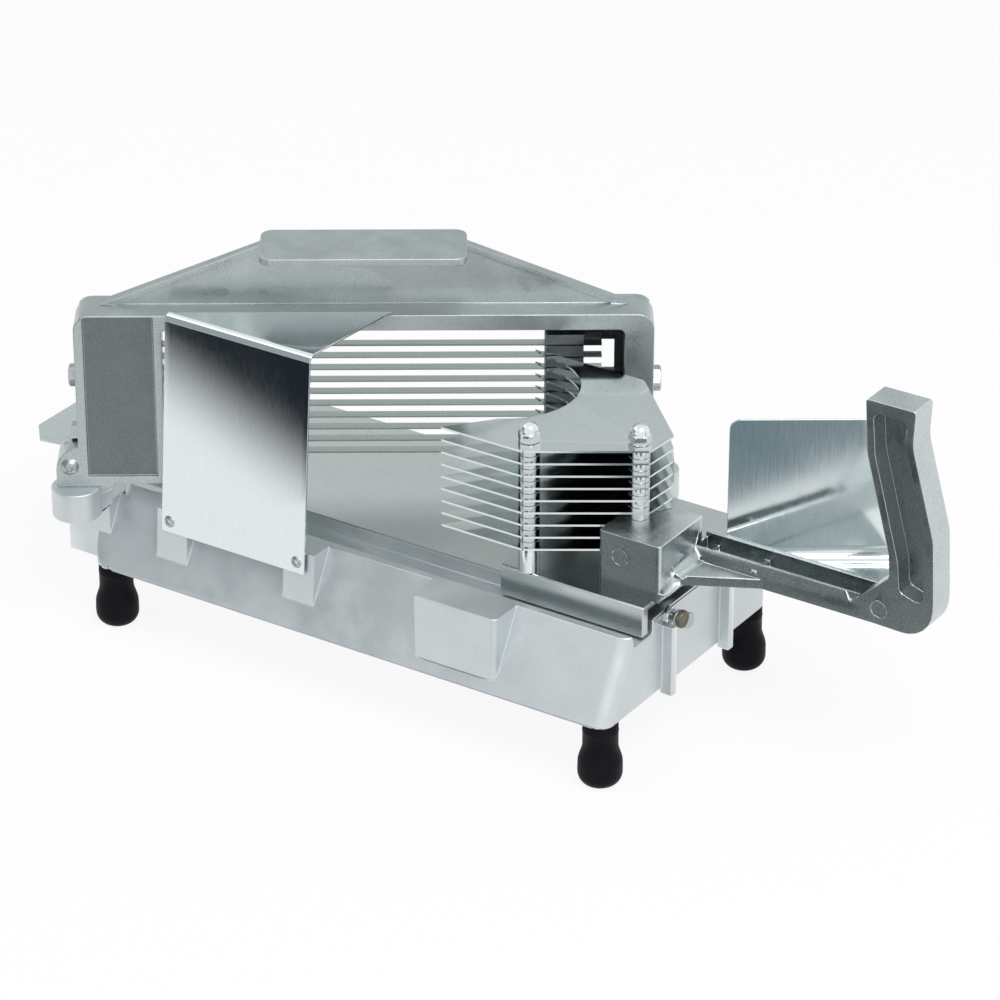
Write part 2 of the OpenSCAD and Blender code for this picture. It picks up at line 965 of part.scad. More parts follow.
// The dome-headed screws that face outwards at the ears
ear_screw_r = 2.2;
ear_screw_head_r = 4.4;
ear_screw_head_h = 2.6;
ear_screw_len = 8;
ear_screw_z = 91;
ear_screw_out = 2.4;
ear_screw_sides = [
    [-lug_a - ear_screw_out, frame_front_off, 90],
    [rear_lug_a + ear_screw_out, frame_back_off, -90]
];
module ear_screw_place(extra) {
    for (side = ear_screw_sides)
        translate([side[0], side[1], ear_screw_z])
            rotate([side[2], 0, 0])
                translate([0, 0, -ear_screw_len])
                    cylinder(r = ear_screw_r + extra, h = ear_screw_len + (extra > 0 ? over : 0));
}

module ear_screws() {
    color("dimgray")
        framed() {
            ear_screw_place(0);
            for (side = ear_screw_sides)
                translate([side[0], side[1], ear_screw_z])
                    rotate([side[2], 0, 0])
                        dome(ear_screw_head_r, ear_screw_head_h);
        }
}

module frame_bolts() {
    color("gray")
        framed()
            for (p = lug_bolt_places)
                translate([p[0], p[1], lug_z]) {
                    cylinder(r = lug_bolt_r, h = ear_z - lug_z + lug_bolt_grip);
                    translate([0, 0, -lug_bolt_head_h])
                        cylinder(r = lug_bolt_head_r, h = lug_bolt_head_h, $fn = 6);
                }
}

// Slotted end block that holds the blade ends on a pin
module end_block(left, bolts) {
    top = blade_top_z + block_margin;
    bottom = blade_low_z - block_margin + kerf;
    middle = left + block_len / 2;
    difference() {
        block([left, block_front_off, bottom], [left + block_len, block_back_off, top]);
        for (i = [1:blade_count])
            block(
                [left - over, block_front_off - over, blade_z(i) - blade_t / 2 - kerf],
                [left + block_len + over, blade_back_off + kerf, blade_z(i) + blade_t / 2 + kerf]
            );
        translate([middle, (blade_front_off + blade_back_off) / 2, bottom - over])
            cylinder(r = blade_pin_r + fit, h = top - bottom + 2 * over);
        for (z = bolts)
            rod_x([left - over, side_bolt_off, z], side_bolt_r + fit, block_len + 2 * over);
    }
}

module blade_block_left() {
    color("dimgray")
        framed()
            end_block(left_block_a - block_len, left_bolt_z);
}

module blade_block_right() {
    color("dimgray")
        framed()
            end_block(right_block_a, right_bolt_z);
}

pin_middles = [left_block_a - block_len / 2, right_block_a + block_len / 2];
module blade_pins() {
    color("gray")
        framed()
            for (a = pin_middles)
                translate([a, (blade_front_off + blade_back_off) / 2, blade_low_z - block_margin + kerf])
                    cylinder(r = blade_pin_r, h = blade_top_z - blade_low_z + 2 * block_margin - kerf);
}

module tension_bolts() {
    left_len = left_block_a - block_len + side_bolt_bite - frame_left_a;
    right_len = frame_right_a - (right_block_a + block_len - side_bolt_bite);
    color("gray")
        framed() {
            for (z = left_bolt_z) {
                rod_x([frame_left_a, side_bolt_off, z], side_bolt_r, left_len);
                hex_x([frame_left_a - side_head_h, side_bolt_off, z], side_head_r, side_head_h);
            }
            for (z = right_bolt_z) {
                rod_x([frame_right_a - right_len, side_bolt_off, z], side_bolt_r, right_len);
                hex_x([frame_right_a, side_bolt_off, z], right_head_r, side_head_h);
            }
        }
}

module blade(i) {
    z = blade_z(i);
    color("lightgray")
        framed()
            difference() {
                along_x(blade_left_a, blade_right_a)
                    polygon([
                        [blade_front_off, z],
                        [blade_front_off + blade_edge_w, z - blade_t / 2],
                        [blade_back_off, z - blade_t / 2],
                        [blade_back_off, z + blade_t / 2],
                        [blade_front_off + blade_edge_w, z + blade_t / 2]
                    ]);
                for (a = pin_middles)
                    translate([a, (blade_front_off + blade_back_off) / 2, z - blade_t])
                        cylinder(r = blade_pin_r + fit, h = 2 * blade_t);
            }
}

// Place of a front guard screw, square to the leaning sheet, with its head outwards
module guard_screw_place(x) {
    translate([x, guard_y(guard_screw_z), guard_screw_z])
        rotate([-90 - lean, 0, 0])
            children();
}

// Front guard: a leaning sheet with a pointed flange at its top
module front_guard() {
    screw_places = [guard_left_x + guard_screw_in, guard_right_x - guard_screw_in];
    flange_off = frame_front_off - sheet_gap;
    flange_right_x = guard_right_x + guard_nose;
    color("whitesmoke")
        placed()
            difference() {
                union() {
                    along_x(guard_left_x, guard_right_x)
                        polygon([
                            [guard_foot_y - sheet_t, guard_foot_z],
                            [guard_foot_y, guard_foot_z],
                            [guard_top_y, guard_top_z],
                            [guard_top_y, guard_top_z + sheet_t],
                            [guard_y(guard_top_z + sheet_t) - sheet_t, guard_top_z + sheet_t]
                        ]);
                    along_z(guard_top_z, guard_top_z + sheet_t)
                        polygon([
                            [guard_left_x, guard_top_y - sheet_t / 2],
                            [guard_right_x, guard_top_y - sheet_t / 2],
                            [flange_right_x, y_at(flange_right_x, flange_off)],
                            [guard_left_x, y_at(guard_left_x, flange_off)]
                        ]);
                }
                for (x = screw_places)
                    guard_screw_place(x)
                        translate([0, 0, -sheet_t - over])
                            cylinder(r = guard_screw_r + fit, h = sheet_t + 2 * over);
            }
}

module front_guard_screws() {
    color("dimgray")
        placed()
            for (x = [guard_left_x + guard_screw_in, guard_right_x - guard_screw_in])
                guard_screw_place(x)
                    translate([0, 0, -sheet_t]) {
                        cylinder(r = guard_screw_r, h = guard_screw_len);
                        rotate([180, 0, 0])
                            dome(guard_screw_head_r, guard_screw_head_h);
                    }
}

// Carriage: a plate with a lip that runs in the guide channel
module carriage() {
    color("silver")
        placed()
            difference() {
                along_x(carriage_left_x, carriage_right_x)
                    polygon(rounded(
                        [
                            [lip_y, lip_z],
                            [lip_y + lip_t, lip_z],
                            [lip_y + lip_t, carriage_z - carriage_t],
                            [carriage_back_y, carriage_z - carriage_t],
                            [carriage_back_y, carriage_z],
                            [lip_y, carriage_z]
                        ],
                        [0, 0, 0, 0, 0, carriage_t / 2]
                    ));
                for (p = [[rod_left_x, rod_left_y], [rod_right_x, rod_right_y]])
                    translate([p[0], p[1], carriage_z - carriage_t - over])
                        cylinder(r = rod_r + fit, h = carriage_t + 2 * over);
                for (p = handle_bolt_places)
                    translate([p[0], p[1], carriage_z - carriage_t - over])
                        cylinder(r = handle_bolt_r + fit, h = carriage_t + 2 * over);
            }
}

// Slippery strips between the carriage and the deck
module glide_strips() {
    color("white")
        placed()
            for (y = [platform_y + strip_front_in, carriage_back_y - strip_in])
                block(
                    [carriage_left_x + strip_in, y - strip_w / 2, deck_z],
                    [carriage_right_x - 2 * strip_in, y + strip_w / 2, carriage_z - carriage_t]
                );
}

// Slippery shoe between the lip and the front face of the platform
module glide_shoe() {
    color("white")
        placed()
            block(
                [carriage_left_x + strip_in, lip_y + lip_t, shoe_z],
                [carriage_right_x - strip_in, platform_y - slide_fit, deck_z - deck_t]
            );
}

rod_top_z = plate_top_z + plate_t / 2 + nut_hex_h + rod_end / 2;
module rod(x, y) {
    color("silver")
        placed()
            along_z(carriage_z - carriage_t, rod_top_z)
                translate([x, y])
                    circle(r = rod_r);
}

module rod_left() {
    rod(rod_left_x, rod_left_y);
}

module rod_right() {
    rod(rod_right_x, rod_right_y);
}

// Spacers fill the rod between its seat and the plates above it
module spacers(x, y, seat) {
    color("silver")
        placed()
            for (i = [1:blade_count - 1]) {
                below = max(seat, i == blade_count - 1 ? seat : plate_z(i + 1) + plate_t / 2);
                above = plate_z(i) - plate_t / 2;
                if (above > below)
                    along_z(below, above)
                        translate([x, y])
                            difference() {
                                circle(r = spacer_r);
                                circle(r = rod_r + fit);
                            }
            }
}

module spacers_left() {
    spacers(rod_left_x, rod_left_y, carriage_z);
}

module spacers_right() {
    spacers(rod_right_x, rod_right_y, block_z);
}

// Acorn nut: a hexagon with a domed cap over a blind bore
module acorn_nuts() {
    z = plate_top_z + plate_t / 2;
    color("silver")
        placed()
            for (p = [[rod_left_x, rod_left_y], [rod_right_x, rod_right_y]])
                translate([p[0], p[1], z])
                    difference() {
                        union() {
                            cylinder(r = nut_r, h = nut_hex_h, $fn = 6);
                            translate([0, 0, nut_hex_h])
                                sphere(r = nut_dome_r);
                        }
                        translate([0, 0, -over])
                            cylinder(r = rod_r + fit, h = rod_top_z - z + over + fit);
                        translate([0, 0, -nut_dome_r])
                            cylinder(r = nut_r, h = nut_dome_r);
                    }
}

// Plan of the handle block; its back edge runs along the blades so that it clears them
block_corner_shares = [0.5, 0.5, 0, 0, 0, 0.2];
function block_outline(grow) = [
    [block_left_x - grow, block_front_y - grow],
    [block_right_x + grow, block_front_y - grow],
    [block_right_x + grow, block_back_y + grow],
    [block_bump_back_x - grow, block_back_y + grow],
    [block_bump_x - grow, y_at(block_bump_x - grow, block_edge_off) + grow],
    [block_left_x - grow, y_at(block_left_x - grow, block_edge_off) + grow]
];

plate_edge = 0.3;
module pusher_plate(i) {
    color("whitesmoke")
        placed()
            along_z(plate_z(i) - plate_t / 2, plate_z(i) + plate_t / 2)
                difference() {
                    polygon(rounded(
                        [
                            [horn_x, plate_front_y],
                            [plate_front_x, plate_front_y],
                            plate_tail,
                            plate_corner,
                            [plate_back_x, plate_back_y],
                            [rear_horn_x, plate_back_y],
                            [notch_out_x, notch_out_y],
                            [notch_in_x, notch_in_y]
                        ],
                        [0, plate_round, plate_round, plate_round, plate_round, 0, 0, 0]
                    ));
                    translate([notch_x, notch_y])
                        circle(r = notch_r, $fn = 96);
                    for (p = [[rod_left_x, rod_left_y], [rod_right_x, rod_right_y]])
                        translate(p)
                            circle(r = rod_r + fit);
                    if (plate_z(i) - plate_t / 2 < block_z + plate_edge)
                        polygon(block_outline(plate_edge));
                }
}

// Handle casting: block, gusset, hollow arm and upright grip
grip_corner_shares = [0, 0, 1, 0.8, 1.6, 1.6, 0.1, 0.1, 1.6, 0.8, 0.2, 0.1, 0, 0];
grip_outline = rounded(
    [
        [block_right_x - over, arm_z],
        [grip_foot_x, arm_z],
        [grip_right_x, grip_bottom_z],
        [grip_right_x, grip_low_z],
        [grip_heel_x, grip_heel_z],
        [grip_back_x, grip_back_z],
        [grip_top_right_x, grip_top_z],
        [grip_left_x, grip_top_z],
        [grip_neck_x, grip_neck_z],
        [grip_elbow_x, grip_elbow_z],
        [grip_root_x, grip_root_z],
        [tray_end_x, tray_end_z],
        [tray_end_x - arm_wall, near_wall_z],
        [block_right_x - over, near_wall_z]
    ],
    grip_corner_shares * grip_heel_r
);

// The pocket follows the grip's own outline, one rim in from each side
pocket_corner_shares = [1, 1, 2, 2, 1, 1, 2, 2];
rim_side_share = 1.25;
rim_top_share = 1.4;
pocket_outline = rounded(
    [
        [grip_root_x + grip_rim * rim_side_share, pocket_foot_z],
        [grip_right_x - grip_rim * rim_side_share, pocket_foot_z - grip_rim],
        [grip_heel_x - grip_rim, grip_heel_z],
        [grip_back_x - grip_rim, grip_back_z],
        [grip_top_right_x - grip_rim, grip_top_z - grip_rim * rim_top_share],
        [grip_left_x + grip_rim, grip_top_z - grip_rim * rim_top_share],
        [grip_neck_x + grip_rim, grip_neck_z],
        [grip_elbow_x + grip_rim * rim_side_share, grip_elbow_z - grip_rim]
    ],
    pocket_corner_shares * pocket_round
);

module ring(x, z, y) {
    translate([x, y, z])
        rotate([90, 0, 0])
            linear_extrude(ring_h)
                difference() {
                    circle(r = ring_r);
                    circle(r = ring_r - ring_w);
                }
}

handle_bolt_r = 2.5;
handle_bolt_head_r = 4.5;
handle_bolt_head_h = 3;
handle_bolt_len = 14;
handle_bolt_places = [
    [block_left_x + 2 * block_wall, block_front_y + 2 * block_wall],
    [block_right_x - 3 * block_wall, -block_wall]
];

module handle_casting() {
    color("silver")
        placed()
            difference() {
                union() {
                    along_z(carriage_z, block_z)
                        polygon(rounded(block_outline(0), block_corner_shares * block_wall));
                    // The gusset between the block and the arm
                    along_z(arm_z, gusset_z)
                        polygon(rounded(
                            [
                                [block_right_x - over, block_front_y + block_wall],
                                [block_right_x, block_front_y + block_wall],
                                [block_right_x, gusset_root_y],
                                [gusset_x, grip_front_y],
                                [gusset_x, grip_front_y + arm_wall],
                                [block_right_x - over, grip_front_y + arm_wall]
                            ],
                            [0, 0, gusset_round, 0, 0, 0]
                        ));
                    // The hollow corner between the block and the gusset
                    difference() {
                        block(
                            [block_right_x - over, gusset_root_y, gusset_z - over],
                            [block_right_x + root_fillet, grip_front_y + over, gusset_z + root_fillet]
                        );
                        translate([block_right_x + root_fillet, gusset_root_y - over, gusset_z + root_fillet])
                            rotate([-90, 0, 0])
                                cylinder(r = root_fillet, h = grip_front_y - gusset_root_y + 3 * over);
                    }
                    // The arm and the grip share one outline seen from the front
                    difference() {
                        along_y(grip_front_y, grip_back_y)
                            polygon(grip_outline);
                        block(
                            [block_right_x, grip_front_y + arm_wall, arm_floor_z],
                            [grip_root_x - arm_wall, grip_back_y + over, grip_root_z]
                        );
                        along_y(grip_front_y - over, grip_front_y + grip_pocket)
                            polygon(pocket_outline);
                        // The near wall leans back above the arm's front band
                        along_x(block_right_x, tray_end_x)
                            polygon([
                                [grip_front_y - over, near_front_z],
                                [grip_front_y, near_front_z],
                                [grip_front_y + near_slope, near_wall_z],
                                [grip_front_y + near_slope, near_wall_z + over],
                                [grip_front_y - over, near_wall_z + over]
                            ]);
                    }
                    block(
                        [block_right_x - over, grip_back_y - arm_wall, arm_z],
                        [grip_root_x - arm_wall / 2, grip_back_y, far_wall_z]
                    );
                    for (x = rib_x)
                        block([x, grip_front_y, arm_z], [x + rib_t, grip_back_y, rib_z]);
                    // The wall that closes the tray at the grip
                    along_y(grip_front_y, grip_back_y)
                        polygon([
                            [tray_end_x + arm_wall, arm_z],
                            [grip_root_x, arm_z],
                            [grip_root_x, grip_root_z],
                            [tray_end_x + arm_wall, tray_end_z + arm_wall * tray_slope]
                        ]);
                    // The hollow-cornered foot below the gusset
                    difference() {
                        block(
                            [block_right_x - over, block_front_y, carriage_z],
                            [block_right_x + foot_fillet, block_front_y + foot_fillet_d, arm_z]
                        );
                        translate([block_right_x + foot_fillet, block_front_y - over, arm_z - foot_fillet])
                            rotate([-90, 0, 0])
                                cylinder(r = foot_fillet, h = foot_fillet_d + 2 * over);
                    }
                    ring(ring_x, ring_z, block_front_y);
                    ring(ring_arm_x, ring_arm_z, grip_front_y);
                }
                translate([rod_right_x, rod_right_y, carriage_z - over])
                    cylinder(r = rod_r + fit, h = block_z - carriage_z + 2 * over);
                for (p = handle_bolt_places)
                    translate([p[0], p[1], carriage_z - over])
                        cylinder(r = handle_bolt_r + fit, h = handle_bolt_len - carriage_t + over);
                for (x = knuckle_screw_x)
                    translate([x, knuckle_screw_y, arm_z - over])
                        cylinder(r = knuckle_screw_r + fit, h = arm_floor_z - arm_z + 2 * over);
            }
}

module handle_bolts() {
    color("gray")
        placed()
            for (p = handle_bolt_places)
                translate([p[0], p[1], carriage_z - carriage_t]) {
                    cylinder(r = handle_bolt_r, h = handle_bolt_len);
                    translate([0, 0, -handle_bolt_head_h])
                        cylinder(r = handle_bolt_head_r, h = handle_bolt_head_h);
                }
}

// Knuckle guard: an upright sheet along the blades, bent under the arm
module knuckle_guard() {
    low_z = arm_z - sheet_t;
    color("whitesmoke")
        placed()
            difference() {
                union() {
                    rotate([0, 0, blade_angle])
                        along_y(knuckle_off, knuckle_off + sheet_t)
                            polygon(rounded(
                                box_points(knuckle_left_a, low_z, knuckle_right_a, knuckle_top_z),
                                [0, 0, knuckle_corner, knuckle_corner]
                            ));
                    along_z(low_z, arm_z)
                        polygon([
                            knuckle_point(knuckle_left_a, knuckle_off + sheet_t),
                            [knuckle_screw_x[0] - knuckle_flange, grip_front_y + arm_wall],
                            [knuckle_screw_x[1] + knuckle_far, grip_front_y + arm_wall],
                            knuckle_point(knuckle_right_a, knuckle_off + sheet_t)
                        ]);
                }
                for (x = knuckle_screw_x)
                    translate([x, knuckle_screw_y, low_z - over])
                        cylinder(r = knuckle_screw_r + fit, h = sheet_t + 2 * over);
            }
}
function knuckle_point(a, n) = [turned_x(a, n), turned_y(a, n)];

module knuckle_guard_screws() {
    color("dimgray")
        placed()
            for (x = knuckle_screw_x)
                translate([x, knuckle_screw_y, arm_z - sheet_t]) {
                    cylinder(r = knuckle_screw_r, h = arm_floor_z - arm_z + sheet_t);
                    rotate([180, 0, 0])
                        dome(knuckle_head_r, knuckle_head_h);
                }
}

module end_bolt() {
    head_x = base_right + end_bolt_out;
    color("gray")
        placed() {
            rod_x(
                [base_right - end_bolt_bite, end_bolt_y, end_bolt_z],
                end_bolt_r,
                end_bolt_bite + end_bolt_out
            );
            rod_x([head_x, end_bolt_y, end_bolt_z], end_head_r, end_head_h);
        }
}

module end_bolt_nut() {
    color("silver")
        placed()
            difference() {
                hex_x([base_right, end_bolt_y, end_bolt_z], end_nut_r, end_nut_h);
                rod_x([base_right - over, end_bolt_y, end_bolt_z], end_bolt_r + fit, end_nut_h + 2 * over);
            }
}

// Lobed tab clamped under the bolt head
module lock_tab() {
    start = base_right + end_bolt_out - tab_t;
    color("silver")
        placed()
            difference() {
                union() {
                    for (step = [0, 1 / 2, 1])
                        rod_x(
                            [start, end_bolt_y + tab_reach * step, end_bolt_z - tab_drop * step],
                            tab_r,
                            tab_t
                        );
                }
                rod_x([start - over, end_bolt_y, end_bolt_z], end_bolt_r + fit, tab_t + 2 * over);
            }
}

base_casting();
deck_sheet();
outfeed_chute();
chute_screws();
foot_front_left();
foot_front_right();
foot_rear_left();
foot_rear_right();
foot_studs();
blade_frame();
frame_bolts();
ear_screws();
blade_block_left();
blade_block_right();
blade_pins();
tension_bolts();
front_guard();
front_guard_screws();
for (i = [1:blade_count])
    blade(i);
carriage();
glide_strips();
glide_shoe();
rod_left();
rod_right();
spacers_left();
spacers_right();
acorn_nuts();
for (i = [1:blade_count - 1])
    pusher_plate(i);
handle_casting();
handle_bolts();
knuckle_guard();
knuckle_guard_screws();
end_bolt();
end_bolt_nut();
lock_tab();
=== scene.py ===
import bpy
import bmesh
import math
from mathutils import Matrix, Vector


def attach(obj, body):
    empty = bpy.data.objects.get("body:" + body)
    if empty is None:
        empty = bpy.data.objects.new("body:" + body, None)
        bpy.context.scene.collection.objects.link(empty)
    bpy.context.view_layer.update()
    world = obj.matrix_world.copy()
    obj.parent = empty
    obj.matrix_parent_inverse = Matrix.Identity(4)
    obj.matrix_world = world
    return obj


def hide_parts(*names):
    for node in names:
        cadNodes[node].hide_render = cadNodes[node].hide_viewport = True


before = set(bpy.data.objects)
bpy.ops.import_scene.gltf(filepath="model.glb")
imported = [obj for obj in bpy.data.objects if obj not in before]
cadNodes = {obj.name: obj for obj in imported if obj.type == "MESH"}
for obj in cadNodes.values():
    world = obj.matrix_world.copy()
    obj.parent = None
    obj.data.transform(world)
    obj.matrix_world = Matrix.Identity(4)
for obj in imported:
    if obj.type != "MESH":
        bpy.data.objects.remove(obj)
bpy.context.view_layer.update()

print("frame loaded:", len(cadNodes), "nodes")

# the drawing is in millimetres; midX and midY are where the frame's origin lies in it
place = {"midX": 22.75, "midY": 7.919, "turn": math.radians(33.67)}


def spot(x, y, z):
    return Vector(((x - place["midX"]) / 1000, (y - place["midY"]) / 1000, z / 1000))


def bladeSpot(along, off, z):
    # along the blades, and off towards the rear, from the drawing's own origin
    c, s = math.cos(place["turn"]), math.sin(place["turn"])
    return spot(along * c - off * s, along * s + off * c, z)


def mixIn(a, b, t):
    return a + (b - a) * t


# node helpers

def feed(tree, socket, value):
    # links another socket or sets a plain value; a color gets its fourth part
    if isinstance(value, bpy.types.NodeSocket):
        tree.links.new(value, socket)
    elif socket.type == "RGBA":
        socket.default_value = tuple(value) + (1.0,)
    else:
        socket.default_value = value


def addNode(tree, kind, **values):
    # each value goes to the input of its name, or else to the node's own setting
    node = tree.nodes.new(kind)
    for key, value in values.items():
        if key in node.inputs:
            feed(tree, node.inputs[key], value)
        else:
            setattr(node, key, value)
    return node


def newTree(name, kind, inputs, outputs):
    tree = bpy.data.node_groups.new(name, kind)
    for label, sort, value in inputs:
        socket = tree.interface.new_socket(label, in_out="INPUT", socket_type="NodeSocket" + sort)
        if value is not None:
            socket.default_value = value
    for label, sort in outputs:
        tree.interface.new_socket(label, in_out="OUTPUT", socket_type="NodeSocket" + sort)
    return tree, tree.nodes.new("NodeGroupInput").outputs, tree.nodes.new("NodeGroupOutput").inputs


def mathNode(tree, operation, first, second, clamp=False):
    node = addNode(tree, "ShaderNodeMath", operation=operation, use_clamp=clamp)
    feed(tree, node.inputs[0], first)
    feed(tree, node.inputs[1], second)
    return node.outputs[0]


def vectorNode(tree, operation, first, second=(0, 0, 0)):
    node = addNode(tree, "ShaderNodeVectorMath", operation=operation)
    feed(tree, node.inputs[0], first)
    feed(tree, node.inputs[1], second)
    return node.outputs["Value" if operation == "DOT_PRODUCT" else "Vector"]


def rangeNode(tree, value, low, high, toLow=0.0, toHigh=1.0):
    node = addNode(tree, "ShaderNodeMapRange", interpolation_type="SMOOTHSTEP", Value=value, **{
        "From Min": low, "From Max": high, "To Min": toLow, "To Max": toHigh})
    return node.outputs["Result"]


def reachNode(tree, value, start, full):
    node = addNode(tree, "ShaderNodeMapRange", Value=value, **{"From Min": start, "From Max": full})
    return node.outputs["Result"]


def colorMix(tree, factor, first, second):
    # slots 6 and 7 hold the node's two colors
    node = addNode(tree, "ShaderNodeMix", data_type="RGBA")
    for slot, value in ((0, factor), (6, first), (7, second)):
        feed(tree, node.inputs[slot], value)
    return node.outputs[2]


# effects shared by several finishes

def newEffect(name, inputs, outputs):
    return newTree(name, "ShaderNodeTree", [("Vector", "Vector", None)] + inputs,
                   [(label, "Float") for label in outputs])


grainLook = {"speckleSpread": (0.33, 0.67), "cloudSpread": (0.3, 0.7), "pitScale": 0.55, "pitReach": 0.5,
             "pitShare": 0.5}


def makeGrainEffect(look):
    # fine speckle of a blasted casting, with slow clouds under it
    tree, given, made = newEffect("castGrain", [
        ("Speckle Scale", "Float", 1500.0), ("Cloud Scale", "Float", 45.0), ("Speckle Amount", "Float", 0.6)],
        ["Mask", "Cloud", "Height"])
    speckle = addNode(tree, "ShaderNodeTexNoise", Detail=3.0, Roughness=0.65, Vector=given["Vector"],
                      Scale=given["Speckle Scale"])
    cloud = addNode(tree, "ShaderNodeTexNoise", Detail=5.0, Roughness=0.6, Vector=given["Vector"],
                    Scale=given["Cloud Scale"])
    pits = addNode(tree, "ShaderNodeTexVoronoi", feature="F1", Vector=given["Vector"],
                   Scale=mathNode(tree, "MULTIPLY", given["Speckle Scale"], look["pitScale"]))
    spread = rangeNode(tree, speckle.outputs["Fac"], *look["speckleSpread"])
    clouds = rangeNode(tree, cloud.outputs["Fac"], *look["cloudSpread"])
    part = mathNode(tree, "MULTIPLY", spread, given["Speckle Amount"])
    rest = mathNode(tree, "MULTIPLY", clouds, mathNode(tree, "SUBTRACT", 1.0, given["Speckle Amount"]))
    feed(tree, made["Mask"], mathNode(tree, "ADD", part, rest, True))
    feed(tree, made["Cloud"], clouds)
    dents = rangeNode(tree, pits.outputs["Distance"], 0.0, look["pitReach"])
    dents = mathNode(tree, "MULTIPLY", dents, look["pitShare"])
    feed(tree, made["Height"], mathNode(tree, "ADD", dents, speckle.outputs["Fac"]))
    return tree


brushLook = {"spread": (0.3, 0.7)}


def makeBrushEffect(look):
    # long fine lines left by a belt or a brush; Stretch is small along the lines
    tree, given, made = newEffect("brushLines", [
        ("Stretch", "Vector", (1.0, 1.0, 1.0)), ("Scale", "Float", 2500.0)], ["Mask", "Height"])
    pull = vectorNode(tree, "MULTIPLY", given["Vector"], given["Stretch"])
    lines = addNode(tree, "ShaderNodeTexNoise", Detail=4.0, Roughness=0.7, Vector=pull, Scale=given["Scale"])
    feed(tree, made["Mask"], rangeNode(tree, lines.outputs["Fac"], *look["spread"]))
    feed(tree, made["Height"], lines.outputs["Fac"])
    return tree


wearLook = {"breakSpread": (0.25, 0.55), "leastLeft": 0.75}


def makeWearEffect(look):
    # rubbed bright corners: where the surface turns sharply outwards
    tree, given, made = newEffect("edgeWear", [
        ("Start", "Float", 0.52), ("Full", "Float", 0.6), ("Break Scale", "Float", 260.0)], ["Mask"])
    breaks = addNode(tree, "ShaderNodeTexNoise", Detail=3.0, Roughness=0.7, Vector=given["Vector"],
                     Scale=given["Break Scale"])
    corner = tree.nodes.new("ShaderNodeNewGeometry").outputs["Pointiness"]
    reach = reachNode(tree, corner, given["Start"], given["Full"])
    broken = rangeNode(tree, breaks.outputs["Fac"], *look["breakSpread"], look["leastLeft"], 1.0)
    feed(tree, made["Mask"], mathNode(tree, "MULTIPLY", reach, broken, True))
    return tree


filmLook = {"upward": (0.2, 1.0), "everywhere": 0.5, "smearSpread": (0.42, 0.72)}


def makeFilmEffect(look):
    # thin film of handling marks and dust, thicker on faces that look up
    tree, given, made = newEffect("handledFilm", [
        ("Smear Scale", "Float", 30.0), ("Settle", "Float", 0.5)], ["Mask"])
    smear = addNode(tree, "ShaderNodeTexNoise", Detail=6.0, Roughness=0.55, Distortion=0.6,
                    Vector=given["Vector"], Scale=given["Smear Scale"])
    normal = tree.nodes.new("ShaderNodeNewGeometry").outputs["Normal"]
    normalZ = addNode(tree, "ShaderNodeSeparateXYZ", Vector=normal).outputs["Z"]
    settled = mathNode(tree, "MULTIPLY", rangeNode(tree, normalZ, *look["upward"]), given["Settle"])
    settled = mathNode(tree, "ADD", settled, look["everywhere"])
    marks = rangeNode(tree, smear.outputs["Fac"], *look["smearSpread"])
    feed(tree, made["Mask"], mathNode(tree, "MULTIPLY", marks, settled, True))
    return tree


def makeShadeZoneEffect():
    # soft-edged box, for painted shade on part of a casting: a recess or a pocket coloured darker
    tree, given, made = newEffect("boxZone", [
        ("Middle", "Vector", (0, 0, 0)), ("Half", "Vector", (1, 1, 1)), ("Soft", "Float", 0.001)], ["Mask"])
    away = vectorNode(tree, "ABSOLUTE", vectorNode(tree, "SUBTRACT", given["Vector"], given["Middle"]))
    left = vectorNode(tree, "SUBTRACT", given["Half"], away)
    x, y, z = addNode(tree, "ShaderNodeSeparateXYZ", Vector=left).outputs
    least = mathNode(tree, "MINIMUM", mathNode(tree, "MINIMUM", x, y), z)
    feed(tree, made["Mask"], mathNode(tree, "DIVIDE", least, given["Soft"], True))
    return tree


shadedSideLook = {"unevenScale": 90.0, "middle": 0.5, "unevenReach": 0.06}


def makeShadedSideEffect(look):
    # faces that look one way, for painted shade on the side that the lamps leave darker
    tree, given, made = newEffect("facingSide", [
        ("Side", "Vector", (0, -1, 0)), ("Start", "Float", 0.8), ("Full", "Float", 0.95)], ["Mask"])
    normal = tree.nodes.new("ShaderNodeNewGeometry").outputs["Normal"]
    lie = vectorNode(tree, "DOT_PRODUCT", normal, given["Side"])
    uneven = addNode(tree, "ShaderNodeTexNoise", Detail=3.0, Scale=look["unevenScale"],
                     Vector=given["Vector"])
    shift = mathNode(tree, "SUBTRACT", uneven.outputs["Fac"], look["middle"])
    lie = mathNode(tree, "ADD", lie, mathNode(tree, "MULTIPLY", shift, look["unevenReach"]))
    feed(tree, made["Mask"], reachNode(tree, lie, given["Start"], given["Full"]))
    return tree


effects = {
    "grain": makeGrainEffect(grainLook), "brush": makeBrushEffect(brushLook),
    "wear": makeWearEffect(wearLook), "film": makeFilmEffect(filmLook), "shadeZone": makeShadeZoneEffect(),
    "facing": makeShadedSideEffect(shadedSideLook)}


# finishes

def startFinish(name):
    material = bpy.data.materials.new(name)
    material.use_nodes = True
    tree = material.node_tree
    return material, tree, tree.nodes.new("ShaderNodeTexCoord").outputs["Object"]


def useEffect(tree, name, vector, **values):
    node = addNode(tree, "ShaderNodeGroup", node_tree=effects[name], Vector=vector, **values)
    return node.outputs


def useGrain(tree, where, look):
    return useEffect(tree, "grain", where, **{
        "Speckle Scale": look["speckle"], "Cloud Scale": look["cloud"], "Speckle Amount": look["amount"]})


def useFilm(tree, where, look, settle):
    return useEffect(tree, "film", where, **{"Smear Scale": look["smear"], "Settle": settle})["Mask"]


def useWear(tree, where, look):
    return useEffect(tree, "wear", where, Start=look["wearStart"], Full=look["wearFull"])["Mask"]


